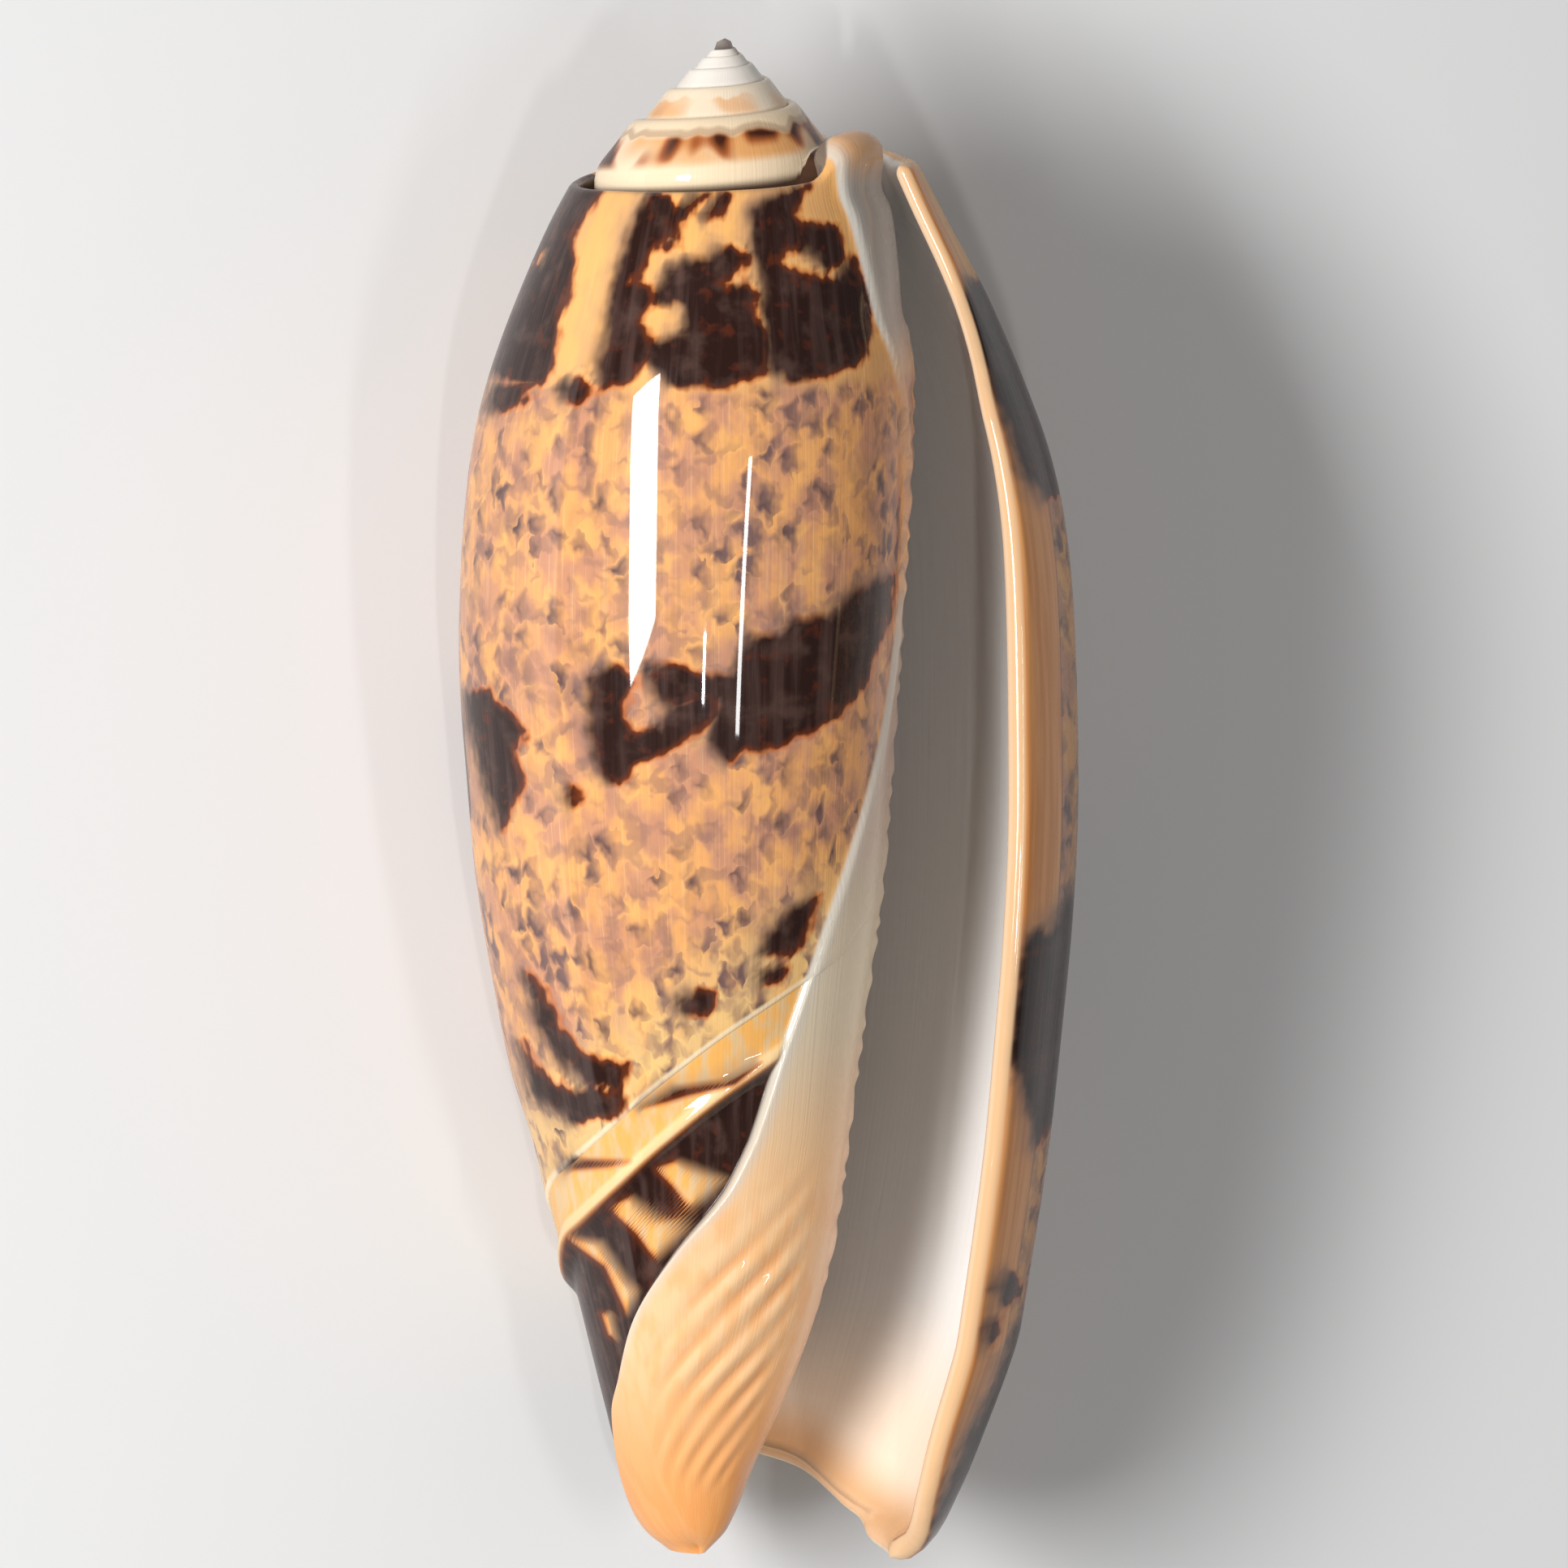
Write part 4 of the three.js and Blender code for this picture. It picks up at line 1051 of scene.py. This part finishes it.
def lip_edge(ground):
    """The lip's beige edge, and the thin brown line along its inner side."""
    rounding = attribute("rounding")
    at_edge = less(ramp(attribute("lip"), 4.5, 6.0))
    bevel = band(rounding, -0.97, -0.9, 0.75, 0.95)
    colour = tint(ground, LIP_EDGE_BEIGE, 0.85, at_edge, bevel)
    inner_line = band(rounding, -0.99, -0.96, -0.9, -0.8)
    return tint(colour, LIP_EDGE_LINE, 0.7, at_edge, inner_line)


SPIRE_WHITE = srgb(238, 230, 220)
SPIRE_CREAM = srgb(242, 218, 184)
SPIRE_ORANGE = srgb(232, 160, 84)
MARK_HALO = srgb(176, 88, 34)
MARK_DARK = srgb(66, 28, 14)
# Painted shade under the scalloped callus edge
SCALLOP_SHADE = srgb(150, 106, 70)
SUTURE_BROWN = srgb(92, 66, 56)
# Painted shadow in the channel round the spire's foot
CHANNEL_SHADOW = srgb(92, 62, 44)
FIRST_WHORL_GREY = srgb(188, 160, 144)
FIRST_WHORL_END = SPIRE_START + 150.0


def spire_colours():
    """White upper whorls, cream and orange-brown lower ones, dark sutures, a grey first whorl,
    painted shade under the scallops and painted shadow in the channel at the foot.
    """
    lower = ramp(turn, -1000.0, -420.0)
    last = ramp(turn, -620.0, -340.0)
    white = mix(lower, SPIRE_WHITE, SPIRE_CREAM)
    wave = noise(turn, 0.0, (0.05, 1.0), seed=20, detail=1)
    below_scallops = minus(down, plus(1.9, times(wave, 1.4)))
    belt = times(ramp(below_scallops, -0.05, 0.25), less(ramp(down, 3.7, 4.5)))
    patch = noise(turn, down, (0.022, 0.2), seed=21, detail=1)
    colour = tint(white, SPIRE_ORANGE, 0.85, ramp(patch, 0.4, 0.6), belt, lower)
    marks = noise(turn, down, (0.04, 0.3), seed=13, detail=1)
    colour = tint(colour, MARK_HALO, 0.9, ramp(marks, 0.46, 0.56), belt, last)
    dark_marks = times(ramp(marks, 0.52, 0.62), belt, last)
    colour = mix(dark_marks, colour, MARK_DARK)
    # Painted shade just below the scalloped edge of the last whorl's callus
    shade = band(below_scallops, -0.35, -0.1, 0.0, 0.12)
    colour = tint(colour, SCALLOP_SHADE, 0.5, shade, last)
    colour = tint(colour, SUTURE_BROWN, 0.75, band(down, -0.5, -0.1, 0.12, 0.3))
    # Painted shadow in the channel round the spire's foot
    colour = mix(ramp(down, 5.1, 5.25), colour, CHANNEL_SHADOW)
    first_whorl = less(ramp(turn, FIRST_WHORL_END, FIRST_WHORL_END + 60.0))
    return mix(first_whorl, colour, FIRST_WHORL_GREY)


# Gloss of the whole shell, by the shader's own names
GLOSS = {
    "Coat Weight": 0.24,
    "Coat IOR": 2.2,
    "Coat Roughness": 0.03,
    "Specular IOR Level": 0.05,
}
LEAST_ROUGHNESS = 0.2
ROUGHNESS_RANGE = 0.14
GROWTH_LINE_STRENGTH = 0.25
GROWTH_LINE_DEPTH = 0.0001


def finish_material():
    colour = body_ground()
    for layer in (mottling, lip, fasciole, blotches, callus, mouth, lip_edge):
        colour = layer(colour)
    colour = mix(attribute("spire"), colour, spire_colours())
    inputs = tree.nodes["Principled BSDF"].inputs
    put(colour, inputs["Base Color"])
    cloudy = noise(around, down, (0.3, 0.3), seed=15)
    roughness = plus(LEAST_ROUGHNESS, times(cloudy, ROUGHNESS_RANGE))
    put(roughness, inputs["Roughness"])
    for name, value in GLOSS.items():
        inputs[name].default_value = value
    lines = noise(around, down, (3.5, 0.08), seed=16, detail=3)
    relief = tree.nodes.new("ShaderNodeBump")
    relief.inputs["Strength"].default_value = GROWTH_LINE_STRENGTH
    relief.inputs["Distance"].default_value = GROWTH_LINE_DEPTH
    put(lines, relief.inputs["Height"])
    put(relief.outputs[0], inputs["Normal"])


# Fineness of the mesh
WALL_STEPS = (260, 110)
CORE_STEPS = (420, 190)
SPIRE_STEPS_PER_TURN = 96
ROUND_STEPS = 4

surfaces = [
    body_wall(*WALL_STEPS, ROUND_STEPS),
    core(*CORE_STEPS),
    spire(SPIRE_STEPS_PER_TURN),
]
coil_points = np.concatenate([surface.points for surface in surfaces])
laid_points, laid_turn, laid_shift = lay_down(coil_points, *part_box("shell"))
shell = build_piece("olive_shell", surfaces, laid_points)
finish_material()
shell.data.materials.append(material)
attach(shell, "root")
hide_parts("shell")

# Camera: the photograph looks at the aperture side, from slightly above the spire's end
to_frame = laid_turn.to_matrix()
aim = to_frame @ (Vector((right_mm, 0, 0)) - image_up * down_mm) * MM + Vector(laid_shift)
back, up = to_frame @ toward_camera, to_frame @ image_up
right = up.cross(back)
camera_data = bpy.data.cameras.new("camera")
camera_data.sensor_width = SENSOR_MM
camera_data.lens = SENSOR_MM * CAMERA_DISTANCE / (PHOTO_PIXELS / PIXELS_PER_MM * MM)
camera_data.clip_end = 10 * CAMERA_DISTANCE
camera = bpy.data.objects.new("camera", camera_data)
axes = Matrix((right, up, back)).transposed().to_4x4()
camera.matrix_world = Matrix.Translation(aim + back * CAMERA_DISTANCE) @ axes
bpy.context.collection.objects.link(camera)
bpy.context.scene.camera = camera

# Floor and plain studio light, in metres and watts
FLOOR_REACH = 3.0
FLOOR_GREY = 0.75
FLOOR_ROUGHNESS = 0.9
LIGHT_TARGET = (0, 0, 0.015)
SURROUND_STRENGTH = 0.17

sides = [(-1, -1), (1, -1), (1, 1), (-1, 1)]
floor_corners = [(FLOOR_REACH * x, FLOOR_REACH * y, 0) for x, y in sides]
floor_mesh = bpy.data.meshes.new("floor")
floor_mesh.from_pydata(floor_corners, [], [(0, 1, 2, 3)])
floor = bpy.data.objects.new("floor", floor_mesh)
bpy.context.collection.objects.link(floor)
floor_material = bpy.data.materials.new("floor")
floor_material.use_nodes = True
floor_shader = floor_material.node_tree.nodes["Principled BSDF"]
floor_shader.inputs["Base Color"].default_value = (FLOOR_GREY, FLOOR_GREY, FLOOR_GREY, 1)
floor_shader.inputs["Roughness"].default_value = FLOOR_ROUGHNESS
floor_mesh.materials.append(floor_material)


def area_light(name, place, size, power, twist=0.0):
    """A lamp that faces the shell, with its length along the shell before the twist."""
    data = bpy.data.lights.new(name, "AREA")
    data.shape = "RECTANGLE"
    data.size, data.size_y = size
    data.energy = power
    light = bpy.data.objects.new(name, data)
    away = (Vector(place) - Vector(LIGHT_TARGET)).normalized()
    along = (Vector((0, 1, 0)) - away * away.y).normalized()
    along.rotate(Quaternion(away, math.radians(twist)))
    axes = Matrix((along.cross(away), along, away)).transposed().to_4x4()
    light.matrix_world = Matrix.Translation(place) @ axes
    bpy.context.collection.objects.link(light)


area_light("strip", place=(-0.39, 0.02, 0.365), size=(0.12, 0.27), power=3.0, twist=15)
area_light("sliver", place=(0.06, -0.09, 0.5), size=(0.018, 0.15), power=0.22)
area_light("glint", place=(-0.14, -0.175, 0.665), size=(0.012, 0.05), power=0.45)
bpy.context.scene.view_settings.view_transform = "Standard"
world = bpy.data.worlds.new("world")
world.use_nodes = True
world.node_tree.nodes["Background"].inputs["Color"].default_value = (1, 1, 1, 1)
world.node_tree.nodes["Background"].inputs["Strength"].default_value = SURROUND_STRENGTH
bpy.context.scene.world = world
